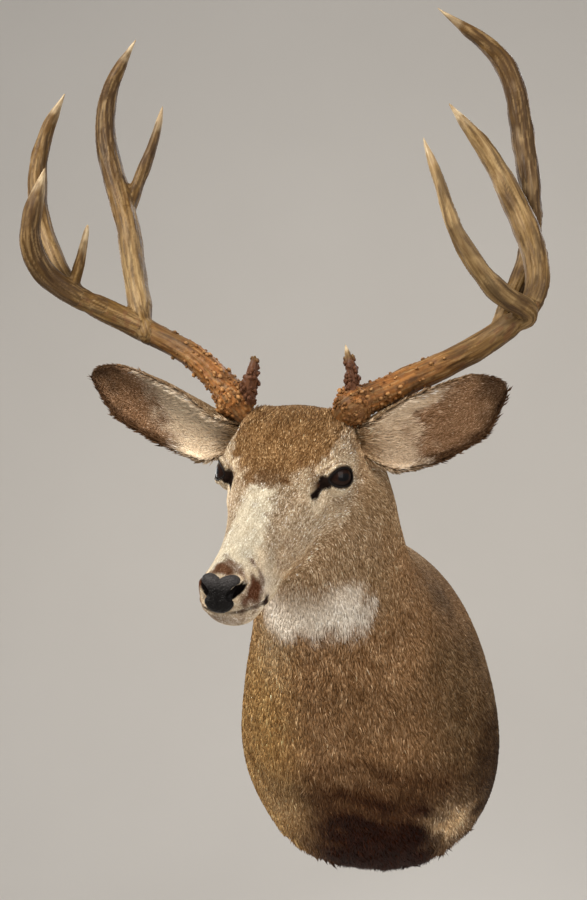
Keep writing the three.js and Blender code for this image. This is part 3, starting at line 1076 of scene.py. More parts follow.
class Survey:
    """A form's surface, noted at many places: where it is, how the hair lies and where it unwraps to."""

    def __init__(self, place: Surface, tail: float, rings: int = 100, sides: int = 80) -> None:
        """Walks over the form.

        Args:
            place: gives points in the mount's frame for shares of its length and angles.
            tail: 1 where the hair points to the form's far end, and -1 where it points to its start.
            rings: stations along the form.
            sides: stations round it.
        """
        t, angle = np.meshgrid(np.linspace(0.002, 0.998, rings), np.linspace(-np.pi, np.pi, sides + 1)[:-1],
                               indexing="ij")
        t, angle = t.ravel(), angle.ravel()
        step = 0.004
        ahead, behind = place(np.minimum(t + step, 1), angle), place(np.maximum(t - step, 0), angle)
        self.points = place(t, angle)
        self.flow = unit(ahead - behind) * tail
        self.t, self.angle = t, angle
        self.tree = kdtree.KDTree(len(t))
        for i, point in enumerate(self.points):
            self.tree.insert(point, i)
        self.tree.balance()

    def nearest(self, points: Array, margin: float = 22.0) -> tuple[Array, Array]:
        """Finds the nearest noted place to each point that lies in the form's box.

        Args:
            points: an (n, 3) array in the mount's frame.
            margin: how far past the form a point still counts; those further off are given a far place.

        Returns:
            The places' numbers and their distances.
        """
        number, distance = np.zeros(len(points), int), np.full(len(points), 400.0)
        low, high = self.points.min(0) - margin, self.points.max(0) + margin
        inside = np.flatnonzero(((points > low) & (points < high)).all(1))
        found = [self.tree.find(point)[1:] for point in points[inside]]
        number[inside], distance[inside] = np.array(found).T
        return number, distance


def edges_of(mesh: Mesh) -> Array:
    """The pairs of vertices that a mesh's edges join."""
    pairs = np.empty(len(mesh.edges) * 2, np.int32)
    mesh.edges.foreach_get("vertices", pairs)
    return pairs.reshape(-1, 2)


def settle(values: Array, edges: Array, rounds: int, weight: Array | float = 0.5) -> Array:
    """Draws each vertex's values towards those of its neighbours.

    Args:
        values: an (n, k) array.
        edges: the mesh's edges.
        rounds: how often.
        weight: how far, for all or for each vertex.

    Returns:
        The settled values.
    """
    count = len(values)
    both = np.concatenate([edges[:, 0], edges[:, 1]])
    other = np.concatenate([edges[:, 1], edges[:, 0]])
    neighbours = np.maximum(np.bincount(both, minlength=count), 1)
    share = np.broadcast_to(np.asarray(weight, float), (count,))[:, None]
    for _ in range(rounds):
        mean = np.stack([np.bincount(both, column[other], count) / neighbours for column in values.T], -1)
        values = values + (mean - values) * share
    return values


# ---------- Hide ----------


MOUTH_LINE = ((0, -211, -91.5), (8, -209, -92), (16.5, -206.5, -91.3), (23, -202.5, -91), (31, -193, -90.3),
              (35, -180, -91.3), (36, -170, -92.3), (35, -157, -94))
MOUTH_CREASE = ((35, -157, -94), (37, -143, -92), (37, -125, -91), (37, -105, -92))
NOSTRIL = ((13.5, -215, -71), (18.5, -212.5, -66.5), (24, -206, -62.5), (26.6, -197, -58.5),
           (24.5, -190, -53.5), (20, -188, -50.5))
NOSTRIL_HALF = ((0, 4.4), (0.25, 4.8), (0.5, 3.2), (0.75, 2.2), (1, 1.4))
NOSTRIL_DEPTH = ((0, 6.5), (0.25, 7.5), (0.5, 4.5), (0.75, 3.2), (1, 1.5))
TEAR_PIT = ((62, -24, 1), (56.5, -34, -4), (53, -41.5, -11))


def mirrored(points: Array) -> Array:
    """The points with those of the right side folded over to the left."""
    return np.stack([np.abs(points[:, 0]), points[:, 1], points[:, 2]], -1)


def nostril_depth(points: Array) -> Array:
    """How deep the nostrils are cut at points of the head's frame, in millimetres."""
    flat = np.array([1.0, 0.4, 1.0])
    gap, along = stroke(mirrored(points) * flat, np.array(NOSTRIL) * flat)
    half = read_off(NOSTRIL_HALF, along)
    depth = read_off(NOSTRIL_DEPTH, along)
    return depth * bell(gap, half, 4)


@dataclass
class Hide:
    """The whole skin of trunk, neck, head and ears, in one piece."""

    voxel: float = 4.4
    body_steps: tuple[int, int] = (160, 170)
    head_steps: tuple[int, int] = (144, 150)
    ear_steps: tuple[int, int] = (72, 76)
    lid_thickness: float = 2.2
    refined: tuple[tuple[tuple[Point, float], ...], ...] = (
        (((60, -30, -10), 62.0), ((-60, -30, -10), 62.0), ((0, -175, -78), 70.0), ((0, -100, -55), 70.0)),
        (((68, -8, 2), 27.0), ((-68, -8, 2), 27.0), ((55, -38, -4), 13.0), ((-55, -38, -4), 13.0),
         ((0, -208, -75), 36.0), ((33, -175, -92), 17.0), ((-33, -175, -92), 17.0)),
    )
    surveys: list[Survey] = field(default_factory=list)

    def flesh(self) -> Object:
        """Fuses trunk, neck and head, and eases the crease between them."""
        whole = piece("hide", joined([mould(*self.body_steps, BODY_FORM.place),
                                      mould(*self.head_steps, HEAD_FORM.place)]))
        fuse(whole, self.voxel)
        points = coordinates(whole.data)
        edges = edges_of(whole.data)
        _, to_body = self.surveys[0].nearest(points)
        _, to_head = self.surveys[1].nearest(points)
        crease = smooth(26, 8, np.maximum(to_body, to_head))
        points = settle(points, edges, 24, 0.05 + 0.5 * crease)
        place_vertices(whole.data, points)
        return whole

    def refine(self, skin: Object) -> None:
        """Splits the faces round the eyes and the muzzle, where small forms are shaped."""
        form = bmesh.new()
        form.from_mesh(skin.data)
        for balls in self.refined:
            form.verts.ensure_lookup_table()
            form.verts.index_update()
            local = HEAD.into(np.array([v.co for v in form.verts]) / MM)
            near = np.zeros(len(local), bool)
            for centre, reach in balls:
                near |= np.linalg.norm(local - np.array(centre), axis=1) < reach
            edges = [e for e in form.edges if near[e.verts[0].index] and near[e.verts[1].index]]
            bmesh.ops.subdivide_edges(form, edges=edges, cuts=1, use_grid_fill=True, smooth=0.6)
        form.to_mesh(skin.data)
        form.free()

    def join_ear(self, skin: Object, ear: EarForm) -> None:
        """Joins an ear to the skin without a seam."""
        leaf = piece("ear", mould(*self.ear_steps, ear.place))
        union = skin.modifiers.new("ear", "BOOLEAN")
        union.operation = "UNION"
        union.solver = "EXACT"
        union.object = leaf
        apply_modifiers(skin)
        discard(leaf)

    def shape_lids(self, points: Array) -> Array:
        """Opens the lids over each eye and wraps them round the ball."""
        for side in Side:
            across, up, off, distance = EYE.angles(side, points)
            out = EYE.openness(across, up)
            near = (distance < 46) & (off < 110)
            lid = EYE.radius + self.lid_thickness * smooth(0.98, 1.12, out) + 0.3
            lid = np.where(out < 1, EYE.radius - 1.6, lid)
            crease = -1.6 * bell(out - 2.1, 0.3) * smooth(-12, 4, up)
            hold = smooth(3.4, 1.5, out) * near * smooth(-62, -40, -off + 40)
            radius = distance + (lid + crease - distance) * hold
            least = EYE.radius + 0.9
            lifted = least + 1.2 * np.log1p(np.exp(np.clip((radius - least) / 1.2, -30, 30)))
            radius = np.where((out > 1) & near, lifted, radius)
            centre = EYE.centre(side)
            points = centre + (points - centre) * (radius / np.maximum(distance, 1e-6))[:, None]
        return points

    def shape_muzzle(self, points: Array, outward: Array) -> Array:
        """Cuts the mouth, and rolls the lips and the fold behind them."""
        folded = mirrored(points)
        gap, _ = stroke(folded, MOUTH_LINE)
        groove = -3.0 * bell(gap, 1.7) + 1.0 * bell(gap - 4.6, 3.0)
        fold, reach = stroke(folded, MOUTH_CREASE)
        groove += (-2.0 * bell(fold, 2.0) + 1.2 * bell(fold - 4.5, 2.6)) * (1 - reach)
        groove -= nostril_depth(points)
        tear, down = stroke(folded, TEAR_PIT)
        groove -= 3.2 * bell(tear, 4.2 - 1.8 * down)
        return points + outward * groove[:, None]

    def build(self) -> Object:
        """Makes the skin.

        Returns:
            The finished skin, in the mount's frame.
        """
        self.surveys = [Survey(BODY_FORM.place, -1), Survey(HEAD_FORM.place, 1),
                        Survey(LEFT_EAR.place, 1), Survey(RIGHT_EAR.place, 1)]
        skin = self.flesh()
        self.refine(skin)
        for ear in (LEFT_EAR, RIGHT_EAR):
            self.join_ear(skin, ear)
        points = self.shape_lids(self.shape_muzzle(*in_head(skin.data)))
        place_vertices(skin.data, HEAD.out(points))
        skin.data.shade_smooth()
        return skin


# ---------- Markings ----------


@dataclass(frozen=True)
class NeckColours:
    """The coat's colours on neck, chest and shoulders, in steps of 0 to 255."""

    hide: Colour = (144, 110, 76)
    # Painted light: the animal's right side, which faces the key lamp, is painted lighter.
    right_side: Colour = (176, 137, 85)
    # Painted shade: the animal's left side, away from the key lamp, is painted darker.
    left_side: Colour = (114, 88, 60)
    low_chest: Colour = (85, 56, 33)
    # Painted shade along the back of the neck.
    spine: Colour = (104, 82, 58)
    upper_neck: Colour = (158, 129, 95)
    # Painted shade in the hollow high on the left side of the neck.
    left_hollow: Colour = (98, 76, 54)
    right_armpit: Colour = (164, 131, 90)
    left_armpit: Colour = (202, 170, 130)
    # Partly the coat's darker hair, partly painted shade low on the left shoulder.
    left_shoulder: Colour = (66, 45, 27)
    keel: Colour = (42, 16, 4)
    right_throat: Colour = (190, 163, 127)
    throat: Colour = (250, 241, 227)
    jaw_edge: Colour = (170, 143, 111)


@dataclass(frozen=True)
class FaceColours:
    """The coat's colours on the head, in steps of 0 to 255."""

    cheek: Colour = (183, 161, 132)
    muzzle: Colour = (216, 199, 172)
    nape: Colour = (166, 136, 101)
    jaw: Colour = (192, 159, 121)
    below_tear: Colour = (178, 150, 118)
    beside_bridge: Colour = (160, 139, 112)
    bridge: Colour = (208, 198, 176)
    cap: Colour = (128, 96, 61)
    forelock: Colour = (98, 73, 49)
    eye_ring: Colour = (206, 186, 156)
    under_eye: Colour = (222, 205, 178)
    # Painted shade in the crease above the eye.
    lid_crease: Colour = (112, 84, 60)
    lid: Colour = (40, 29, 24)
    temple: Colour = (204, 180, 148)
    behind_eye: Colour = (148, 120, 90)
    tear: Colour = (30, 21, 17)
    chin: Colour = (186, 168, 148)
    upper_lip: Colour = (226, 214, 196)
    mauve: Colour = (98, 62, 42)
    nostril_wing: Colour = (206, 184, 156)
    above_nose: Colour = (100, 70, 49)
    nostril: Colour = (15, 11, 10)
    lip: Colour = (50, 34, 27)
    lip_corner: Colour = (48, 32, 25)


@dataclass(frozen=True)
class EarColours:
    """The coat's colours on the ears, in steps of 0 to 255."""

    left_hollow: Colour = (160, 125, 93)
    right_hollow: Colour = (146, 113, 84)
    right_fringe: Colour = (240, 222, 196)
    # Painted shade: the left ear's pale fringe, darker than the right ear's and laid over less of it.
    left_fringe: Colour = (228, 206, 178)
    back: Colour = (118, 96, 70)
    rim: Colour = (84, 60, 40)
    tip: Colour = (62, 43, 29)
    # Painted light: a pale patch at the ear's root that lifts the shadow of ear and antler.
    root: Colour = (214, 182, 143)


@dataclass
class Washes:
    """Colours laid one over another at many places, as an (n, 3) array in linear light."""

    tone: Array

    @classmethod
    def plain(cls, colour: Colour, count: int) -> "Washes":
        """Starts with one colour all over."""
        return cls(np.tile(linear(*colour), (count, 1)))

    def lay(self, colour: Colour, mask: Array) -> None:
        """Lays a colour over the others where a mask says."""
        self.tone = self.tone + (np.asarray(linear(*colour)) - self.tone) * np.clip(mask, 0, 1)[:, None]


@dataclass
class Markings:
    """The coat's colours, worked out from where a place lies on the animal."""

    at: "Places"
    neck: NeckColours = NeckColours()
    face: FaceColours = FaceColours()
    ears: EarColours = EarColours()
    throat_patch: Line = ((-88, -398, 120), (-8, -408, 120))
    bridge: Line = ((0, -60, 2), (0, -100, -10), (0, -140, -24), (0, -178, -38))
    bridge_half: Table = ((0, 15), (0.35, 20), (0.7, 27), (1, 24))
    cap_edge: Table = ((0, -66), (12, -65), (22, -60), (32, -51), (45, -39), (56, -20), (64, -1), (67, 30),
                       (70, 90))

    def body(self) -> Array:
        """Neck, chest and shoulders."""
        p, hue = self.at.points, self.neck
        x, y, z = p.T
        wander = ripple(p, 40, 4)
        coat = Washes.plain(hue.hide, len(p))
        # Painted light: the animal's right side is painted lighter, where the key lamp falls on it.
        coat.lay(hue.right_side, smooth(-30, -110, x - y * 0.05) * smooth(150, 60, z))
        # Painted shade: the animal's left side is painted darker, away from the key lamp.
        coat.lay(hue.left_side, smooth(60, 130, x) * smooth(130, 60, z))
        coat.lay(hue.low_chest, smooth(-40, -130, z + wander * 9) * smooth(150, 80, np.abs(x - 20)))
        # Painted shade: darker along the back line of the neck and shoulders, below the head.
        coat.lay(hue.spine, smooth(0.55, 0.95, np.sin(self.at.angle)) * smooth(300, 220, z) * 0.7)
        coat.lay(hue.upper_neck, np.maximum(smooth(160, 235, z), blob(p, (20, -430, 150), (70, 60, 55))))
        # Painted shade: darker in the hollow high on the left side of the neck.
        coat.lay(hue.left_hollow, blob(p, (108, -214, 140), (34, 90, 44)))
        coat.lay(hue.right_armpit, blob(p, (-114, -222, -142), (36, 64, 52)) * 1.1)
        coat.lay(hue.left_armpit, blob(p, (116, -184, -170), (34, 60, 34)) * 1.2)
        # Darker hair low on the left shoulder, laid darker still as painted shade.
        coat.lay(hue.left_shoulder, smooth(120, 172, x + wander * 8) * smooth(40, -70, z + wander * 20))
        keel = smooth(104, 52, np.abs(x - 16 + wander * 9)) * smooth(-118, -176, z + wander * 14)
        coat.lay(hue.keel, np.maximum(keel, smooth(-214, -236, z) * smooth(-110, -80, x) * 0.85))
        coat.lay(hue.right_throat, blob(p, (-112, -388, 70), (30, 60, 48)) * 0.8)
        throat = stroke(p, self.throat_patch)[0] + ripple(p, 26, 8) * 3 + ripple(p, 8, 13) * 2.5
        coat.lay(hue.throat, smooth(50, 17, throat))
        return coat.tone * (1 + 0.06 * ripple(p, 90, 9) + 0.025 * ripple(p, 20, 10))[:, None]

    def head(self) -> Array:
        """Face, cap, cheeks and jaw."""
        p, hue = self.at.local, self.face
        side, y, z = np.abs(p[:, 0]), p[:, 1], p[:, 2]
        wander = ripple(p, 16, 21) * 2.2
        fold = mirrored(p)
        coat = Washes.plain(hue.cheek, len(p))
        coat.lay(hue.muzzle, smooth(-105, -150, y + wander))
        coat.lay(hue.nape, smooth(10, 60, y + wander))
        coat.lay(hue.jaw, smooth(-66, -100, z + wander * 1.5) * smooth(-125, -70, y))
        coat.lay(hue.below_tear, blob(fold, (44, -104, -60), (20, 34, 22)) * 0.6)
        bridge, along = stroke(p, self.bridge)
        past = bridge + wander - read_off(self.bridge_half, along)
        coat.lay(hue.beside_bridge, smooth(26, 6, past) * smooth(-150, -110, y) * 0.9)
        coat.lay(hue.bridge, smooth(8, -8, past))
        behind = y - read_off(self.cap_edge, side) + wander * 2 + 2 * ripple(p, 5, 23)
        cap = smooth(-10, 10, behind) * smooth(-8, 4, z)
        coat.lay(hue.cap, cap)
        coat.lay(hue.forelock, cap * blob(p, (0, -58, 12), (34, 16, 30)) * 0.9)
        for eye in Side:
            self.eye(coat, eye, wander)
        coat.lay(hue.temple, blob(fold, (63, 42, 24), (15, 20, 18)) * 0.85)
        coat.lay(hue.behind_eye, blob(fold, (72, 32, -14), (14, 20, 20)) * 0.6)
        tear, down = stroke(fold, TEAR_PIT)
        coat.lay(hue.tear, smooth(10.4, 7.4, tear + down * 3.2 + wander * 0.2))
        self.muzzle(coat, wander)
        return coat.tone * (1 + 0.05 * ripple(p, 24, 22))[:, None]

    def eye(self, coat: Washes, eye: Side, wander: Array) -> None:
        """Lays the pale ring, the painted shade in the crease above it and the bare lids of one eye over the
        face.
        """
        hue = self.face
        across, up, _, distance = EYE.angles(eye, self.at.local)
        out = EYE.openness(across, up)
        near = distance < EYE.reach
        ring = smooth(4.0, 2.2, out + wander * 0.1) * near
        coat.lay(hue.eye_ring, ring * (0.35 + 0.6 * smooth(0, 26, np.abs(up))))
        coat.lay(hue.under_eye, smooth(5.2, 3.4, out) * smooth(-14, -30, up) * near * 0.7)
        # Painted shade along the crease above the eye.
        coat.lay(hue.lid_crease, smooth(0.45, 0.12, np.abs(out - 2.15)) * smooth(4, 20, up) * near * 0.6)
        coat.lay(hue.lid, smooth(1.5, 1.1, out) * near)

    def muzzle(self, coat: Washes, wander: Array) -> None:
        """Lays the pale lips, the dark bands beside and above the nose, and the mouth over the face."""
        p, hue = self.at.local, self.face
        fold = mirrored(p)
        coat.lay(hue.chin, blob(p, (0, -196, -104), (30, 22, 12)) * 1.3)
        coat.lay(hue.upper_lip, blob(fold, (30, -158, -80), (14, 16, 12)) * 0.8)
        coat.lay(hue.mauve, smooth(0.15, 0.85, blob(fold, (30, -187, -74), (17, 24, 21)) + wander * 0.07))
        coat.lay(hue.nostril_wing, blob(fold, (22, -198, -52), (5, 9, 5)) * 0.8)
        coat.lay(hue.above_nose, smooth(0.15, 0.8, blob(p, (0, -193, -47), (20, 15, 11)) + wander * 0.06))
        coat.lay(hue.nostril, smooth(0.15, 1.2, nostril_depth(p)))
        lip, _ = stroke(fold, MOUTH_LINE)
        coat.lay(hue.lip, smooth(3.4, 1.6, lip) * smooth(4, 14, fold[:, 0]))
        coat.lay(hue.lip_corner, smooth(0.3, 0.8, blob(fold, (35, -164, -95), (10, 12, 9))))

    def ear(self) -> Array:
        """Both faces of the ears, and their rims."""
        t, angle, hue = self.at.t, self.at.angle, self.ears
        high = np.cos(angle)
        back = smooth(-0.2, 0.2, np.sin(angle))
        on_left = self.at.form == Form.LEFT_EAR.value
        wander = ripple(self.at.points, 30, 31) * 0.03
        low_side = np.maximum(smooth(-0.9, -0.5, high + wander), smooth(0.5, 0.32, t))
        right = smooth(0.68, 0.46, t + wander - 0.1 * high) * low_side
        upper_side = smooth(0.7, 0.45, t + wander) * smooth(0.15, 0.6, high + 2 * wander)
        left = np.maximum(upper_side, smooth(0.46, 0.28, t + wander))
        coat = Washes.plain(hue.left_hollow, len(t))
        coat.lay(hue.right_hollow, ~on_left)
        coat.lay(hue.right_fringe, right * (1 - back) * ~on_left)
        # Painted shade: the left ear's fringe is a darker copy of the right's, over a smaller area.
        coat.lay(hue.left_fringe, left * (1 - back) * on_left)
        coat.lay(hue.back, back)
        rim = smooth(0.74, 0.94, np.abs(high) - 0.1 * (high > 0) * smooth(0.6, 0.4, t) + wander)
        coat.lay(hue.rim, rim * smooth(0.24, 0.46, t) * (1 - 0.65 * (high > 0)))
        coat.lay(hue.tip, smooth(0.74, 0.95, t + wander) * 0.8)
        return coat.tone

    def all(self) -> Array:
        """The colour of every place, in linear light."""
        body, head = self.body(), self.head()
        to_body, to_head = self.at.distances[:, 0], self.at.distances[:, 1]
        coat = Washes(body + (head - body) * smooth(-16, 10, to_body - to_head)[:, None])
        jaw = bell(to_body - to_head, 48) * smooth(-40, -75, self.at.local[:, 2])
        coat.lay(self.neck.jaw_edge, jaw * 0.9)
        # Painted light at the ear's root, lifting the shadow that ear and antler cast on the head.
        coat.lay(self.ears.root, blob(mirrored(self.at.local), (79, 78, 12), (25, 26, 26)) * 0.85)
        here = (self.at.form >= Form.LEFT_EAR.value) * smooth(0.06, 0.2, self.at.t)
        return (coat.tone + (self.ear() - coat.tone) * here[:, None]).clip(0, 1)


# ---------- Coat ----------


class Places:
    """What the coat needs to know of every vertex of the skin."""

    def __init__(self, skin: Mesh, surveys: Sequence[Survey]) -> None:
        """Reads the skin.

        Args:
            skin: the finished skin's mesh.
            surveys: the surveys of its forms, in the order of Form.
        """
        self.points = coordinates(skin)
        self.local = HEAD.into(self.points)
        self.normals = normals(skin)
        found = [survey.nearest(self.points) for survey in surveys]
        self.distances = np.stack([distance for _, distance in found], -1)
        self.form = np.argmin(self.distances - np.array([0, 0, 2.5, 2.5]), axis=1)
        numbers = np.stack([number for number, _ in found], -1)
        self.t = np.choose(self.form, [s.t[numbers[:, k]] for k, s in enumerate(surveys)])
        self.angle = np.choose(self.form, [s.angle[numbers[:, k]] for k, s in enumerate(surveys)])
        flows = np.stack([s.flow[numbers[:, k]] for k, s in enumerate(surveys)], 1)
        weight = 1.0 / (self.distances**2 + 9.0) ** 2
        weight[:, 2:] *= 6.0
        self.flow = self.lay(np.einsum("nk,nkc->nc", weight, flows), edges_of(skin))

    def lay(self, flow: Array, edges: Array) -> Array:
        """Lays directions down on the skin, eased from vertex to vertex and drawn round the eyes."""
        flow = unit(flow)
        for side in Side:
            centre = EYE.centre(side)
            away = self.local - centre
            distance = lengths(away)[:, 0]
            near = bell(distance - EYE.radius, 16) * (distance < 50)
            radial = unit(away - EYE.axes(side)[2] * (away @ EYE.axes(side)[2])[:, None]) @ HEAD.axes().T
            flow = flow + radial * near[:, None] * 0.9
        flow[:, 2] -= 0.25 * (self.form == Form.BODY.value)
        for _ in range(6):
            flow = settle(flow, edges, 2)
            flow = unit(flow - self.normals * np.sum(flow * self.normals, axis=1, keepdims=True))
        return flow

    def lie(self) -> Array:
        """Coordinates that run seven times slower along the hair than across it, in millimetres."""
        ears = self.form >= Form.LEFT_EAR.value
        girth = np.choose(self.form, [120.0, 60.0, 35.0, 35.0])
        reach = np.choose(self.form, [720.0, 340.0, 200.0, 200.0])
        across, out = girth * np.cos(self.angle), girth * np.sin(self.angle) + ears * 400
        return np.stack([across, out, self.t * reach / 7], -1)

    def unwrap(self) -> Array:
        """Where each place lies on a flat map: body, head above it, and the ears side by side on top."""
        share = (self.angle + np.pi) / (2 * np.pi)
        across = np.choose(self.form, [share, share, share * 0.48, 0.51 + share * 0.48])
        ear_up = 0.8 + self.t * 0.19
        up = np.choose(self.form, [self.t * 0.5, 0.53 + self.t * 0.24, ear_up, ear_up])
        return np.stack([0.005 + across * 0.99, 0.005 + up * 0.99], -1)


@dataclass
class Coat:
    """The hair, as thin tufts over the skin; the tint makes pale hair greyer than dark hair."""

    most_tufts: int = 45000
    seed: int = 11
    tint: Colour = (1.0, 1.22, 1.5)
    pale_share: float = 0.42
    face_hair: Table = ((-212, 1.5), (-185, 2.0), (-150, 3.2), (-100, 4.6), (-50, 6.0), (-10, 8.0),
                        (30, 10.5), (70, 13.0), (110, 15.0))
    neck_hair: Table = ((-240, 22), (-120, 20), (0, 17), (120, 13.5), (240, 9.5), (320, 10))
    face_growth: Table = ((-200, 1.9), (-150, 1.4), (-60, 1.05), (40, 0.68))
    antler_stem: Line = ((62, 56, 58), (68, 66, 66))

    def grow_plan(self, at: Places) -> dict[str, Array]:
        """Works out how the hair grows at each vertex.

        Args:
            at: the skin's places.

        Returns:
            Length, width, lift (as a slope) and thickness of growth (tufts to the square mm), by name.
        """
        y, z = at.local[:, 1], at.local[:, 2]
        face = read_off(self.face_hair, y)
        face = face * (1 + 0.6 * smooth(-70, -105, z) * smooth(-150, -60, y))
        neck = read_off(self.neck_hair, at.points[:, 2])
        share = smooth(-9, 9, at.distances[:, 0] - at.distances[:, 1])
        length = neck + (np.minimum(face, neck) - neck) * share
        stem = bell(stroke(mirrored(at.local), self.antler_stem)[0], 24, 4)
        ear = at.form >= Form.LEFT_EAR.value
        back, high = np.sin(at.angle) > 0, np.cos(at.angle)
        rim = smooth(0.8, 0.96, np.abs(high)) * (1 - 0.5 * (high > 0))
        inside = 5.0 + 9.0 * smooth(0.7, 0.3, at.t - 0.16 * high) * smooth(-0.8, -0.2, high)
        white = smooth(7, 13, inside) * ~back
        on_ear = np.where(back, 6.0, inside) + (8.0 - 0.5 * np.where(back, 6.0, inside)) * rim
        length = np.where(ear, on_ear, length)
        low_edge = smooth(-150, -215, at.points[:, 2]) * (1 - share)
        width = np.where(ear, 0.7, 0.42 + 0.06 * length)
        body_growth = 0.32 + 0.2 * smooth(70, 200, at.points[:, 2])
        growth = body_growth + (read_off(self.face_growth, y) - body_growth) * share
        growth = np.where(ear, np.where(back, 0.55, 0.48) + 1.0 * rim, growth)
        ear_lift = np.where(back, 0.16, 0.26) + 0.4 * rim + 0.16 * white
        lift = np.where(ear, ear_lift, 0.15 + 0.11 * smooth(8, 14, length) * share)
        lift = lift + 0.25 * stem * ~ear + 0.2 * low_edge
        clump = smooth(0.0, 1.2, ripple(at.points, 20, 15))
        length = np.where(ear, length, length + 3 * stem + (6 + 9 * clump) * low_edge)
        for eye in Side:
            across, up, _, distance = EYE.angles(eye, at.local)
            out = EYE.openness(across, up)
            short = np.minimum(length, 1.6 + 1.5 * out)
            length = np.where((distance < EYE.reach) & (out < 3.5), short, length)
            lift = np.where((distance < EYE.reach) & (out < 2.5), 0.12, lift)
        tear, _ = stroke(mirrored(at.local), TEAR_PIT)
        length = np.minimum(length, 1.6 + 0.4 * (tear - 4).clip(0))
        growth = np.where(self.bare(at), 0.0, growth)
        return {"length": length, "width": width, "lift": lift, "growth": growth}

    def bare(self, at: Places) -> Array:
        """Where no hair grows: between the lids, in the tear pits, nostrils and mouth, and at the wall."""
        tear, down = stroke(mirrored(at.local), TEAR_PIT)
        bare = (nostril_depth(at.local) > 1.0) | (tear < 5.6 - 2.4 * down)
        for eye in Side:
            across, up, _, distance = EYE.angles(eye, at.local)
            bare |= (distance < EYE.reach) & (EYE.openness(across, up) < 1.15)
        bare |= stroke(mirrored(at.local), MOUTH_LINE)[0] < 2.2
        bare |= at.points[:, 1] > -4.0
        return bare | ((at.points[:, 1] > -30) & (at.normals[:, 1] > 0.5))

    def roots(self, skin: Mesh, growth: Array) -> tuple[Array, Array]:
        """Spreads roots over the skin, as thickly as the hair grows there.

        Args:
            skin: the skin's mesh.
            growth: tufts to the square millimetre at each vertex.

        Returns:
            The three vertices round each root, and how near it lies to each.
        """
        skin.calc_loop_triangles()
        corners = np.empty(len(skin.loop_triangles) * 3, np.int32)
        skin.loop_triangles.foreach_get("vertices", corners)
        corners = corners.reshape(-1, 3)
        a, b, c = (coordinates(skin)[corners[:, k]] for k in range(3))
        area = np.linalg.norm(np.cross(b - a, c - a), axis=1) / 2
        least = growth[corners].min(axis=1) > 0
        due = np.cumsum(area * growth[corners].mean(axis=1) * least)
        dice = np.random.default_rng(self.seed)
        count = int(due[-1] * (1.0))
        pick = np.searchsorted(due, (np.arange(count) + dice.random(count)) * due[-1] / count)
        pick = np.minimum(pick, len(due) - 1)
        first, second = np.sqrt(dice.random(count)), dice.random(count)
        shares = np.stack([1 - first, first * (1 - second), first * second], -1)
        return corners[pick], shares

    def comb(self, skin: Mesh, at: Places, colours: Array) -> dict[str, Array]:
        """Gathers each tuft's place, direction, size and colours.

        Args:
            skin: the skin's mesh.
            at: its places.
            colours: its colours.

        Returns:
            Arrays by name, with a row for each tuft.
        """
        plan = self.grow_plan(at)
        corners, shares = self.roots(skin, plan["growth"])

        def mix(values: Array) -> Array:
            """The values of the skin's vertices, read at the tufts' roots."""
            return np.einsum("nk,nk...->n...", shares, values[corners])

        dice = np.random.default_rng(self.seed + 1)
        count = len(corners)
        points, outward = mix(at.points), unit(mix(at.normals))
        flow = unit(mix(at.flow))
        turn = np.radians(ripple(points, 24, 5) * 7 + ripple(points, 60, 6) * 5 + dice.normal(0, 8, count))
        across = np.cross(outward, flow)
        flow = flow * np.cos(turn)[:, None] + across * np.sin(turn)[:, None]
        nearest = corners[np.arange(count), np.argmax(shares, axis=1)]
        on_head = at.form == Form.HEAD.value
        to_wall = (-0.8 - points[:, 1]) / np.maximum(flow[:, 1] + 0.3 * outward[:, 1], 0.02)
        length = np.minimum(mix(plan["length"]) * dice.uniform(0.7, 1.15, count), to_wall)
        return {
            "points": points, "outward": outward, "flow": flow, "across": np.cross(outward, flow),
            "length": length,
            "width": mix(plan["width"]) * dice.uniform(0.75, 1.25, count),
            "lift": mix(plan["lift"]) * dice.uniform(0.5, 1.5, count),
            "colour": mix(colours), "uv": at.unwrap()[nearest], "form": at.form[nearest], "t": at.t[nearest],
            "chance": dice.random(count),
            "tone": dice.normal(0, 1.15, count) + 0.3 * ripple(at.lie()[nearest], 4, 12)
            + 0.45 * on_head[nearest] * ripple(points, 5, 14),
        }

    def tuft_piece(self, name: str, tufts: dict[str, Array]) -> Object:
        """Makes a mesh of closed, bent spindles, one for each tuft.

        Args:
            name: the piece's name.
            tufts: the tufts' arrays.

        Returns:
            The piece.
        """
        root, outward, flow, across = (tufts[k] for k in ("points", "outward", "flow", "across"))
        length, width, lift = (tufts[k][:, None] for k in ("length", "width", "lift"))
        middle = root + flow * length * 0.42 + outward * (length * 0.42 * lift + 0.4)
        tip = root + flow * length + outward * (length * lift * 0.62 + 0.1)
        half = across * width / 2
        points = np.stack([root - outward * 0.7, middle + half, middle - half, tip], 1)
        mesh, loops = repeated(name, points, np.array([[0, 2, 1], [1, 2, 3], [0, 1, 3], [0, 3, 2]]))
        mesh.polygons.foreach_set("use_smooth", np.ones(len(mesh.polygons), bool))
        patch = np.array([[0, -1], [-1, 0], [1, 0], [0, 1]]) * 0.0015
        spot = (tufts["uv"][:, None] + patch).clip(0.001, 0.999).reshape(-1, 2)
        layer = mesh.uv_layers.new(name="OFBake")
        layer.data.foreach_set("uv", spot[loops].astype(np.float32).ravel())
        calm = smooth(0.28, 0.6, tufts["colour"].mean(axis=1))[:, None]
        tint = np.array(self.tint)
        contrast = 0.27 - 0.2 * calm + 0.07 * (tufts["form"] == Form.HEAD.value)[:, None]
        base = tufts["colour"] * np.exp(tufts["tone"][:, None] * contrast * tint)
        pale = (tufts["chance"] < self.pale_share)[:, None]
        ends = base * np.where(pale, 1.55 - 0.5 * calm, 0.55 + 0.38 * calm) ** tint
        waist = base * np.where(pale, 0.8 + 0.18 * calm, 1.12 - 0.08 * calm) ** tint
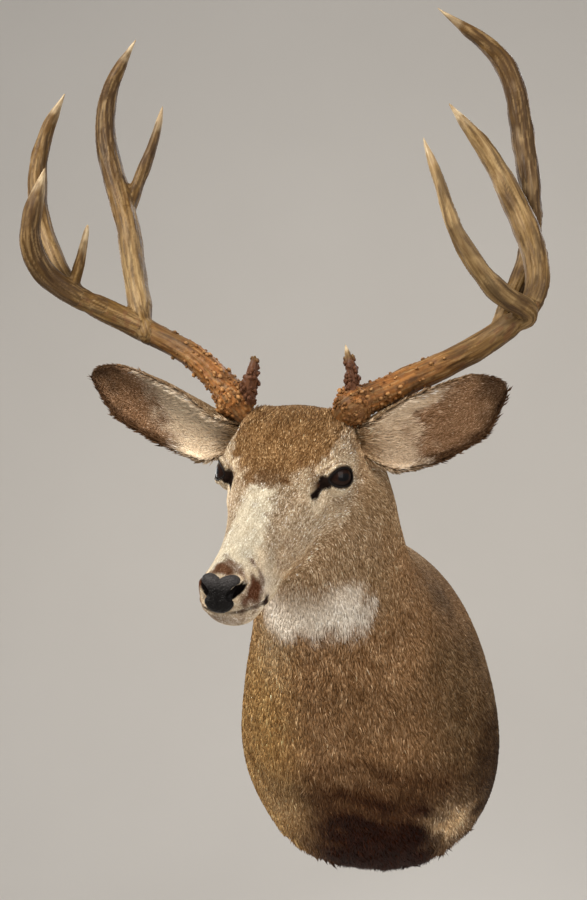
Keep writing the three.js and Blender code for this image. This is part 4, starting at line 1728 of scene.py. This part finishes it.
        bands = np.stack([base * (0.5 + 0.38 * calm), waist, waist, ends], 1)
        paint(mesh, "hair_colour", bands.reshape(-1, 3).clip(0, 1))
        return shown(name, mesh)

    def build(self, skin: Mesh, at: Places, colours: Array) -> list[Object]:
        """Grows the whole coat.

        Args:
            skin: the skin's mesh.
            at: its places.
            colours: its colours.

        Returns:
            The coat's pieces.
        """
        tufts = self.comb(skin, at, colours)
        made = []
        for form, name in ((Form.BODY, "body"), (Form.HEAD, "head"), (Form.LEFT_EAR, "ear_left"),
                           (Form.RIGHT_EAR, "ear_right")):
            chosen = np.flatnonzero(tufts["form"] == form.value)
            chosen = chosen[np.argsort(tufts["t"][chosen], kind="stable")]
            lots = max(1, math.ceil(len(chosen) / self.most_tufts))
            for i, lot in enumerate(np.array_split(chosen, lots)):
                part = {key: values[lot] for key, values in tufts.items()}
                made.append(self.tuft_piece(f"coat_{name}_{i + 1}", part))
        return made


# ---------- Eyes, nose, antlers ----------


@dataclass
class Eye:
    """One glass eye."""

    side: Side

    @property
    def node(self) -> str:
        """The solid that it stands for."""
        return "eye_" + self.side.word

    def build(self) -> Object:
        """Blows the ball with its slightly raised window, and notes where each point lies on it."""
        ball = bmesh.new()
        bmesh.ops.create_uvsphere(ball, u_segments=64, v_segments=48, radius=1.0)
        rays = np.array([v.co for v in ball.verts])
        _, _, off, _ = EYE.angles(self.side, rays + EYE.centre(self.side))
        window = 0.35 * bell(off, 42, 4)
        placed = HEAD.out(EYE.centre(self.side) + unit(rays) * (EYE.radius - 0.35 + window)[:, None])
        for vert, point in zip(ball.verts, placed * MM):
            vert.co = point
        made = piece("glass_eye_" + self.side.word, ball)
        across, up, _, _ = EYE.angles(self.side, HEAD.into(coordinates(made.data)))
        record(made.data, "across", across)
        record(made.data, "up", up)
        return made

    def rim(self) -> Object:
        """Rolls the bare dark edge of the lids, thickest at the front corner."""
        points = HEAD.out(EYE.rim(self.side, 72, EYE.radius + 0.9))
        bend = bpy.data.curves.new("rim", "CURVE")
        bend.dimensions, bend.bevel_depth, bend.bevel_resolution = "3D", 1.25 * MM, 3
        line = bend.splines.new("POLY")
        line.points.add(len(points) - 1)
        line.use_cyclic_u = True
        corner = np.cos(np.arange(len(points)) * 2 * np.pi / len(points))
        for point, at, front in zip(line.points, points * MM, corner):
            point.co = (*at, 1.0)
            point.radius = 1.0 + 0.5 * max(0.0, front) ** 6
        laid = shown("rim", bend)
        mesh = bpy.data.meshes.new_from_object(laid.evaluated_get(bpy.context.evaluated_depsgraph_get()))
        bpy.data.objects.remove(laid)
        return shown("lid_rim_" + self.side.word, mesh)


@dataclass
class Nose:
    """The bare pad of the nose with its two nostrils."""

    steps: tuple[int, int] = (144, 96)
    nostril_share: float = 0.6

    def build(self) -> Object:
        """Makes the pad and cuts the inner ends of its nostrils."""
        made = piece("nose_pad", mould(*self.steps, lambda t, angle: HEAD.out(NOSE_FORM.place(t, angle))))
        points, outward = in_head(made.data)
        cut = nostril_depth(points)
        front = smooth(-204, -209, points[:, 1])
        pebbles = 0.16 * ripple(points, 2.6, 91) * front
        place_vertices(made.data, HEAD.out(points + outward * (pebbles - self.nostril_share * cut)[:, None]))
        # Where the pad's top takes its slate-grey painted highlight, outside the nostrils.
        height = points[:, 2] + 0.3 * (points[:, 1] + 205)
        above = smooth(-70, -56, height + ripple(points, 9, 92))
        record(made.data, "shade", above * smooth(2.5, 0.5, cut))
        return made


class Grain:
    """Where each point of an antler lies on its lengths."""

    def __init__(self, lengths: Sequence[AntlerLength], points: Array) -> None:
        """Finds the length that each point belongs to.

        Args:
            lengths: the antler's lengths.
            points: an (n, 3) array in the head's frame.
        """
        steps = np.linspace(0, 1, 160)
        paths = [length.path() for length in lengths]
        centres = np.concatenate([path.at(steps) for path in paths])
        radii = np.concatenate([length.radius(steps) for length in lengths])
        owner = np.repeat(np.arange(len(lengths)), len(steps))
        best = np.empty(len(points), int)
        for start in range(0, len(points), 4000):
            chunk = points[start:start + 4000]
            gap = (np.sum(chunk**2, 1)[:, None] + np.sum(centres**2, 1) - 2 * chunk @ centres.T).clip(0)
            best[start:start + 4000] = np.argmin(np.sqrt(gap) - radii, axis=1)
        self.owner = owner[best]
        self.t = np.tile(steps, len(lengths))[best]
        self.radius = radii[best]
        places = [np.linspace(0, 1, len(length.bleach)) for length in lengths]
        bleach = [np.interp(steps, at, length.bleach) for at, length in zip(places, lengths)]
        self.bleach = np.concatenate(bleach)[best]
        reach = np.array([path.length for path in paths])[self.owner]
        self.from_root = self.t * reach
        self.to_tip = reach - self.from_root
        frames = [np.concatenate(column) for column in zip(*(path.frame(steps) for path in paths))]
        offset = points - centres[best]
        self.heading = frames[0][best]
        round_about = np.stack([np.sum(offset * frames[k][best], 1) for k in (1, 2)], -1)
        self.raised = np.linalg.norm(offset, axis=1) - self.radius
        vector = np.concatenate([round_about, self.from_root[:, None] / 11], 1)
        self.vector = vector + self.owner[:, None] * 61.0


@dataclass(frozen=True)
class AntlerColours:
    """An antler's colours, in steps of 0 to 255."""

    bone: Colour = (106, 79, 37)
    # Painted shade on the faces turned away from the key lamp.
    underside: Colour = (74, 53, 26)
    stained: Colour = (60, 41, 17)
    # Partly real bleaching along pale lengths, partly painted light on faces turned to the key lamp.
    bleached: Colour = (184, 160, 117)
    # Painted highlight on faces turned to the key lamp.
    rubbed: Colour = (172, 149, 112)
    rusty_base: Colour = (150, 99, 50)
    dark_streak: Colour = (58, 41, 19)
    pale_streak: Colour = (160, 133, 92)
    cloud: Colour = (80, 58, 31)
    brow_tine: Colour = (92, 58, 36)
    fleck: Colour = (104, 70, 40)
    # Partly worn pale tips, partly painted highlight on the raised pearls.
    pearl: Colour = (190, 145, 94)
    tip: Colour = (196, 178, 146)


@dataclass
class Antler:
    """One antler, fused from its lengths, furrowed along its grain and set with pearls towards its base."""

    side: Side
    lengths: tuple[AntlerLength, ...]
    voxel: float = 2.0
    pearl_reach: float = 190.0
    beam_pearls: int = 300
    brow_pearls: int = 52
    seed: int = 31
    hue: AntlerColours = AntlerColours()
    # About the way to the key lamp in the head's frame, for the painted light and shade.
    sunny_way: Point = (-0.55, -0.6, 0.58)

    def names(self) -> list[str]:
        """The names of its lengths."""
        return [length.name for length in self.lengths]

    def nodes(self) -> list[str]:
        """The solids that it stands for."""
        return [f"antler_{self.side.word}_{name}" for name in self.names()]

    def build(self) -> Object:
        """Makes the antler with its pearls and colours."""
        made = piece("antler_" + self.side.word, joined(
            [length.mould() for length in self.lengths] + [tine.knuckle() for tine in self.lengths[1:]]))
        fuse(made, self.voxel)
        points = HEAD.into(coordinates(made.data))
        grain = Grain(self.lengths, points)
        points = settle(points, edges_of(made.data), 8, 0.45 * smooth(3, 8, grain.radius))
        place_vertices(made.data, HEAD.out(points))
        points = self.furrow(points, normals(made.data) @ HEAD.axes(), grain)
        place_vertices(made.data, HEAD.out(points))
        self.set_pearls(made, points, normals(made.data) @ HEAD.axes(), grain)
        points, outward = in_head(made.data)
        grain = Grain(self.lengths, points)
        record(made.data, "grain", grain.vector * MM)
        paint(made.data, "antler_colour", self.colours(points, outward, grain))
        made.data.shade_smooth()
        return made

    @property
    def bare_brow(self) -> float:
        """How much of the brow tine's tip is smooth."""
        return 17.0 if self.side is Side.LEFT else 5.0

    def is_brow(self, grain: Grain) -> Array:
        """Which points lie on the brow tine."""
        return grain.owner == self.names().index("brow_tine")

    def is_beam(self, grain: Grain) -> Array:
        """Which points lie on the beam."""
        return grain.owner == self.names().index("beam")

    def furrow(self, points: Array, outward: Array, grain: Grain) -> Array:
        """Cuts long furrows, and roughens the base and the brow tine."""
        seed = self.seed + self.side.value
        calm = smooth(8, 90, grain.to_tip)
        coarse, fine = ripple(grain.vector, 11, seed), ripple(grain.vector, 5.5, seed + 2)
        long = -np.abs(coarse) * 0.6 - np.abs(fine) * 0.4
        swell = ripple(points, 46, seed + 4) * 0.4
        rough = np.where(self.is_brow(grain), smooth(10, 34, grain.to_tip),
                         self.is_beam(grain) * smooth(self.pearl_reach, 20, grain.from_root))
        knobs = (np.abs(ripple(points, 11, seed + 6)) - 0.5) * np.where(self.is_brow(grain), 1.5, 0.9) * rough
        return points + outward * ((long + 0.5 + swell) * calm + knobs)[:, None]

    def set_pearls(self, made: Object, points: Array, outward: Array, grain: Grain) -> None:
        """Sets small hard beads on the base of the beam and all along the brow tine."""
        dice = np.random.default_rng(self.seed + 7 + self.side.value)
        burr = self.lengths[0].burr_place * self.lengths[0].path().length
        fading = smooth(self.pearl_reach, 10, grain.from_root) ** 0.8 * (grain.from_root > burr - 8)
        beam = self.is_beam(grain) * (fading + 3.0 * bell(grain.from_root - burr, 7))
        brow = self.is_brow(grain) * (grain.to_tip > self.bare_brow) * (grain.from_root > 4)
        chosen = np.concatenate([dice.choice(len(points), count, replace=False, p=weight / weight.sum())
                                 for weight, count in ((beam, self.beam_pearls), (brow, self.brow_pearls))])
        on_beam, on_brow = 1.1 + 2.0 * dice.random(len(chosen)) ** 1.8, dice.uniform(1.6, 3.2, len(chosen))
        size = np.where(np.arange(len(chosen)) < self.beam_pearls, on_beam, on_brow)
        up, ahead = outward[chosen], grain.heading[chosen]
        across = unit(np.cross(up, ahead))
        turn = np.stack([unit(np.cross(across, up)) * 1.25, across, up * 0.95], -1) * size[:, None, None]
        beads = scattered("pearls", self.bead(), points[chosen] + up * size[:, None] * 0.3, turn)
        place_vertices(beads, HEAD.out(coordinates(beads)))
        form = bmesh.new()
        form.from_mesh(made.data)
        form.from_mesh(beads)
        form.to_mesh(made.data)
        form.free()
        bpy.data.meshes.remove(beads)

    def bead(self) -> BMesh:
        """One plain bead of radius 1."""
        form = bmesh.new()
        bmesh.ops.create_icosphere(form, subdivisions=1, radius=1.0)
        return form

    def colours(self, points: Array, outward: Array, grain: Grain) -> Array:
        """Streaked olive brown, lit faces painted lighter and faces turned away painted darker, some lengths
        pale and others stained, rusty low down, pale at the tips, the brow tine dark.
        """
        seed = self.seed + 11 + self.side.value
        beam, brow, hue = self.is_beam(grain), self.is_brow(grain), self.hue
        # How far each face turns to the key lamp, used for painted light and shade.
        facing = outward @ unit(np.array(self.sunny_way)) + 0.25 * ripple(grain.vector, 8, seed + 5)
        bone = Washes.plain(hue.bone, len(points))
        # Painted shade: darker on faces turned away from the key lamp.
        bone.lay(hue.underside, smooth(0.2, -0.5, facing) * 0.6)
        bone.lay(hue.stained, -grain.bleach * 0.85)
        # Partly real bleaching along pale lengths, partly painted light on faces turned to the key lamp.
        bone.lay(hue.bleached, smooth(-0.5, 0.8, facing + grain.bleach - 0.3) * grain.bleach.clip(0) * 0.8)
        # Painted highlight: paler patches on faces turned to the key lamp.
        rubbed = smooth(0.35, 0.95, facing) * smooth(-0.3, 0.8, ripple(points, 50, seed + 6))
        bone.lay(hue.rubbed, rubbed * 0.3)
        bone.lay(hue.rusty_base, beam * smooth(240, 60, grain.from_root))
        bone.lay(hue.dark_streak, smooth(0.1, 0.9, ripple(grain.vector, 6, seed)) * 0.55)
        bone.lay(hue.pale_streak, smooth(0.35, 1.1, ripple(grain.vector, 4.5, seed + 1)) * 0.45)
        bone.lay(hue.cloud, smooth(0.2, 1.0, ripple(points, 60, seed + 2)) * 0.5)
        bone.lay(hue.brow_tine, brow * smooth(self.bare_brow - 3, self.bare_brow + 9, grain.to_tip))
        bone.lay(hue.fleck, beam * smooth(1.0, 1.35, ripple(points, 12, seed + 3)) * 0.6)
        pearled = beam & (grain.from_root < self.pearl_reach)
        # Partly worn pale tips, partly painted highlight: lighter where the pearls stand out.
        bone.lay(hue.pearl, smooth(1.0, 2.6, grain.raised) * pearled * 0.7)
        tip = smooth(52, 6, grain.to_tip + ripple(points, 20, seed + 4) * 5) * ~beam
        tip = np.where(brow, smooth(14, 6, grain.to_tip) * (self.side is Side.LEFT), tip)
        bone.lay(hue.tip, tip * 0.85)
        return bone.tone


@dataclass(frozen=True)
class Staples:
    """The staples that hold the skin's edge round the board, seen from the wall."""

    count: int = 44
    size: Point = (0.9, 0.5, 9.0)
    inset: float = 9.0
    at_depth: float = -0.8
    board_middle: Point = (0.0, 0.0, -8.0)

    def build(self) -> Object:
        """Lays them square to the edge."""
        turn = np.arange(self.count) * 2 * np.pi / self.count + 0.04 * np.sin(np.arange(self.count) * 2.7)
        edge = BODY_FORM.surface(np.zeros(self.count), turn)
        inward = unit(np.array(self.board_middle) - edge) * np.array([1.0, 0.0, 1.0])
        inward = unit(inward)
        places = edge + inward * self.inset
        places[:, 1] = self.at_depth
        bar = bmesh.new()
        bmesh.ops.create_cube(bar, size=1.0)
        bmesh.ops.scale(bar, vec=self.size, verts=bar.verts)
        depth = np.tile([0.0, 1.0, 0.0], (self.count, 1))
        turns = np.stack([np.cross(depth, inward), depth, inward], -1)
        return shown("staples", scattered("staples", bar, places, turns))


# ---------- Studio ----------


@dataclass(frozen=True)
class Lamp:
    """A soft rectangular light: where it hangs, what it points at, its size in metres, power and colour."""

    name: str
    at: Point
    aim: Point
    size: float
    power: float
    colour: Colour = (1.0, 1.0, 1.0)

    def hang(self) -> None:
        """Adds the light to the scene."""
        light = bpy.data.lights.new(self.name, "AREA")
        light.shape, light.size = "SQUARE", self.size
        light.energy, light.color = self.power, self.colour
        hung = shown(self.name, light)
        hung.location = self.at
        hung.rotation_euler = (Vector(self.aim) - Vector(self.at)).to_track_quat("-Z", "Y").to_euler()


@dataclass
class Studio:
    """Camera, pale sweep and soft lights."""

    camera_at: Point = (0.14912, -1.9, 0.06341)
    lens: float = 48.0
    sensor: float = 36.0
    pitch: float = 9.4
    yaw: float = 8.3
    floor: float = -1.15
    wall: float = 4.6
    curve: float = 1.6
    front: float = -9.0
    top: float = 8.0
    half_width: float = 11.0
    curve_steps: int = 12
    paper: tuple[Colour, Colour] = ((0.66, 0.64, 0.61), (0.70, 0.68, 0.65))
    air: Colour = (1.0, 0.97, 0.94)
    air_strength: float = 0.42
    lamps: tuple[Lamp, ...] = (
        Lamp("key", (-1.5, -2.3, 2.1), (0.0, -0.3, 0.15), 1.1, 128, (1.0, 0.94, 0.86)),
        Lamp("fill", (2.2, -2.2, 0.9), (0.0, -0.3, 0.1), 1.8, 52, (1.0, 0.95, 0.9)),
        Lamp("rim", (1.2, 1.6, 2.2), (0.0, -0.3, 0.4), 1.4, 44),
        Lamp("back", (-1.8, 1.8, 1.0), (0.0, -0.2, 0.2), 1.6, 34),
    )

    def shoot(self) -> None:
        """Sets up the camera."""
        camera = bpy.data.cameras.new("camera")
        camera.lens, camera.sensor_width = self.lens, self.sensor
        camera.clip_start, camera.clip_end = 0.05, 60.0
        held = shown("camera", camera)
        held.location = self.camera_at
        held.rotation_euler = (math.radians(90 + self.pitch), 0.0, math.radians(self.yaw))
        bpy.context.scene.camera = held

    def sweep(self) -> None:
        """Lays a pale floor that curves up into a pale backdrop."""
        form = bmesh.new()
        profile = [Vector((0, self.front, self.floor))]
        for i in range(self.curve_steps + 1):
            turn = math.pi / 2 * i / self.curve_steps
            profile.append(Vector((0, self.wall - self.curve + self.curve * math.sin(turn),
                                   self.floor + self.curve * (1 - math.cos(turn)))))
        profile.append(Vector((0, self.wall, self.top)))
        edge = [form.verts.new(p - Vector((self.half_width, 0, 0))) for p in profile]
        run = [form.edges.new(pair) for pair in zip(edge, edge[1:])]
        grown = bmesh.ops.extrude_edge_only(form, edges=run)
        moved = [v for v in grown["geom"] if isinstance(v, BMVert)]
        bmesh.ops.translate(form, verts=moved, vec=(2 * self.half_width, 0, 0))
        bmesh.ops.recalc_face_normals(form, faces=form.faces)
        ground = piece("sweep", form)
        paper = Shader("backdrop", Roughness=0.9)
        paper.feed("Base Color", paper.blend(paper.spread(paper.noise(0.6), 0.3, 0.7), *self.paper))
        ground.data.materials.append(paper.material)

    def build(self) -> None:
        """Sets the scene."""
        self.shoot()
        self.sweep()
        for lamp in self.lamps:
            lamp.hang()
        world = bpy.data.worlds.new("studio")
        world.use_nodes = True
        light = world.node_tree.nodes["Background"]
        light.inputs["Color"].default_value = (*self.air, 1.0)
        light.inputs["Strength"].default_value = self.air_strength
        bpy.context.scene.view_settings.view_transform = "Standard"
        bpy.context.scene.world = world


@dataclass(frozen=True)
class GlassFinish:
    """A glass eye: a long dark pupil in a deep brown iris that darkens towards its edge."""

    pupil: Colour = linear(6, 6, 8)
    iris: Colour = linear(36, 18, 9)
    edge: Colour = linear(13, 9, 8)
    pupil_half: tuple[float, float] = (25.0, 13.0)

    def build(self) -> Material:
        """Makes the material."""
        made = Shader("eye_glass", Roughness=0.4, Specular_IOR_Level=0.06, Coat_Weight=0.2,
                      Coat_Roughness=0.03, Coat_IOR=1.36)
        squares = []
        for name, half in zip(("across", "up"), self.pupil_half):
            share = made.math("DIVIDE", made.attribute(name, "Fac"), half)
            squares.append(made.math("POWER", made.math("ABSOLUTE", share), 2.0))
        out = made.math("ADD", *squares)
        threads = made.spread(made.noise(1500.0, 4.0, 0.7), 0.35, 0.65)
        iris = made.blend(threads, self.iris, tuple(c * 0.45 for c in self.iris))
        iris = made.blend(made.spread(out, 1.6, 6.0), iris, self.edge)
        made.feed("Base Color", made.blend(made.spread(out, 0.75, 1.1), self.pupil, iris))
        return made.material


@dataclass(frozen=True)
class NoseFinish:
    """Pebbled bare skin: black below and inside the nostrils, with slate grey above as a painted highlight.
    """

    # Painted highlight: slate grey over the top of the pad.
    above: Colour = linear(52, 50, 50)
    below: Colour = linear(6, 4, 4)

    def build(self) -> Material:
        """Makes the material."""
        made = Shader("nose_skin", Specular_IOR_Level=0.14)
        cells = made.add("TexVoronoi", {"feature": "F1"}, Vector=made.place(), Scale=520.0)
        pebbles = cells.outputs["Distance"]
        light = made.blend(made.spread(pebbles, 0.1, 0.6), tuple(c * 1.25 for c in self.above), self.above)
        # Black skin, with the painted slate highlight over the pad's top.
        tone = made.blend(made.attribute("shade", "Fac"), self.below, light)
        stain = made.spread(made.noise(260.0), 0.35, 0.65, 0.0, 0.35)
        made.feed("Base Color", made.blend(stain, tone, self.below))
        made.feed("Roughness", made.spread(made.noise(400.0), 0.3, 0.7, 0.34, 0.55))
        made.feed("Normal", made.bump(made.spread(pebbles, 0.0, 0.7, 1.0, 0.0), 0.0006, 0.8))
        return made.material


@dataclass(frozen=True)
class LidFinish:
    """Bare, slightly damp skin of the lids' edges."""

    tone: Colour = linear(9, 6, 5)

    def build(self) -> Material:
        """Makes the material."""
        made = Shader("lid_skin", Specular_IOR_Level=0.1, Roughness=0.5)
        grain = made.noise(1400.0)
        made.feed("Base Color", made.blend(grain, self.tone, tuple(c * 2.2 for c in self.tone)))
        made.feed("Normal", made.bump(grain, 0.0002, 0.6))
        return made.material


@dataclass(frozen=True)
class PlyFinish:
    """Raw plywood: long pale grain on its faces and thin plies on its edge, which run with the depth."""

    pale: Colour = linear(196, 160, 114)
    dark: Colour = linear(150, 110, 68)
    ply: float = 0.0024
    grain_share: float = 0.07

    def build(self) -> Material:
        """Makes the material."""
        made = Shader("plywood", Roughness=0.78)
        parts = made.add("SeparateXYZ", Vector=made.place())
        slow = made.math("MULTIPLY", parts.outputs["Z"], self.grain_share)
        long = made.add("CombineXYZ", X=parts.outputs["X"], Y=parts.outputs["Y"], Z=slow)
        grain = made.noise(240.0, 5.0, 0.6, long.outputs[0])
        plies = made.math("SINE", made.math("DIVIDE", parts.outputs["Y"], self.ply))
        tone = made.blend(made.spread(grain, 0.35, 0.65), self.pale, self.dark)
        made.feed("Base Color", made.blend(made.spread(plies, -0.4, 0.4, 0.0, 0.45), tone, self.dark))
        made.feed("Normal", made.bump(grain, 0.0004, 0.5))
        return made.material


@dataclass(frozen=True)
class SteelFinish:
    """Zinc-plated sheet steel with fine rolling marks and a few dull spots."""

    tone: Colour = linear(176, 178, 178)

    def build(self) -> Material:
        """Makes the material."""
        made = Shader("steel", Metallic=1.0)
        spots = made.noise(120.0, 4.0)
        dull = tuple(c * 0.6 for c in self.tone)
        made.feed("Base Color", made.blend(made.spread(spots, 0.4, 0.65), self.tone, dull))
        made.feed("Roughness", made.spread(made.noise(700.0), 0.3, 0.7, 0.26, 0.48))
        return made.material


@dataclass(frozen=True)
class AntlerFinish:
    """Antler: polished ridges over darker furrows that follow its grain."""

    furrow: Colour = (0.62, 0.56, 0.5)

    def build(self) -> Material:
        """Makes the material."""
        made = Shader("antler", Specular_IOR_Level=0.2)
        grain = made.attribute("grain", "Vector")
        fine = made.noise(900.0, 4.0, 0.6, grain)
        streak = made.noise(320.0, 3.0, 0.55, grain)
        dark = made.blend(made.spread(streak, 0.42, 0.62), self.furrow, (1.0, 1.0, 1.0))
        colour = made.attribute("antler_colour", "Color")
        made.feed("Base Color", made.blend(1.0, colour, dark, "MULTIPLY"))
        made.feed("Roughness", made.spread(fine, 0.35, 0.7, 0.45, 0.7))
        made.feed("Normal", made.bump(fine, 0.0004, 0.7, made.bump(streak, 0.0010, 0.8)))
        return made.material


@dataclass(frozen=True)
class HideFinish:
    """The skin under the tufts: short flat hair as fine streaks that run with the coat."""

    streak: Colour = (0.55, 0.53, 0.5)

    def build(self) -> Material:
        """Makes the material."""
        made = Shader("hide", Roughness=0.8, Specular_IOR_Level=0.03)
        lie = made.attribute("lie", "Vector")
        hair = made.noise(900.0, 3.0, 0.6, lie)
        colour = made.attribute("hide_colour", "Color")
        dark = made.blend(made.spread(hair, 0.38, 0.62), self.streak, (1.0, 1.0, 1.0))
        made.feed("Base Color", made.blend(1.0, colour, dark, "MULTIPLY"))
        made.feed("Normal", made.bump(hair, 0.0008, 0.8))
        return made.material


@dataclass(frozen=True)
class HairFinish:
    """The tufts: each with its own colours from root to tip, and a faint soft gloss."""

    dull: Colour = (0.86, 0.86, 0.86)
    bright: Colour = (1.08, 1.07, 1.06)

    def build(self) -> Material:
        """Makes the material."""
        made = Shader("coat_hair", Roughness=0.62, Specular_IOR_Level=0.03)
        colour = made.attribute("hair_colour", "Color")
        flecks = made.spread(made.noise(1600.0, 2.0), 0.35, 0.65)
        fleck = made.blend(flecks, self.dull, self.bright)
        made.feed("Base Color", made.blend(1.0, colour, fleck, "MULTIPLY"))
        return made.material


def main() -> None:
    """Builds the mount."""
    logging.basicConfig(level=logging.INFO, format="%(message)s")
    Studio().build()
    hide = Hide()
    skin = hide.build()
    at = Places(skin.data, hide.surveys)
    colours = Markings(at).all()
    paint(skin.data, "hide_colour", colours)
    record(skin.data, "lie", at.lie() * MM)
    finish_piece(skin, HideFinish().build(), ("trunk", "neck", "head", "ear_left", "ear_right"))
    hair = HairFinish().build()
    for made in Coat().build(skin.data, at, colours):
        slots = [slot for key, slot in (("ear", "ear_coat"), ("head", "head_coat")) if key in made.name]
        finish_piece(made, hair)
    glass, lid = GlassFinish().build(), LidFinish().build()
    for side in Side:
        eye = Eye(side)
        finish_piece(eye.build(), glass, (eye.node,))
        finish_piece(eye.rim(), lid)
    finish_piece(Nose().build(), NoseFinish().build(), ("nose",))
    bone = AntlerFinish().build()
    for side, lengths in ((Side.LEFT, LEFT_ANTLER), (Side.RIGHT, RIGHT_ANTLER)):
        antler = Antler(side, lengths)
        finish_piece(antler.build(), bone, antler.nodes())
    steel = SteelFinish().build()
    finish_piece(Staples().build(), steel)
    for node, finish in (("back_board", PlyFinish().build()), ("hanger", steel)):
        frame["nodes"][node].data.materials.clear()
        frame["nodes"][node].data.materials.append(finish)


if __name__ == "__main__":
    main()
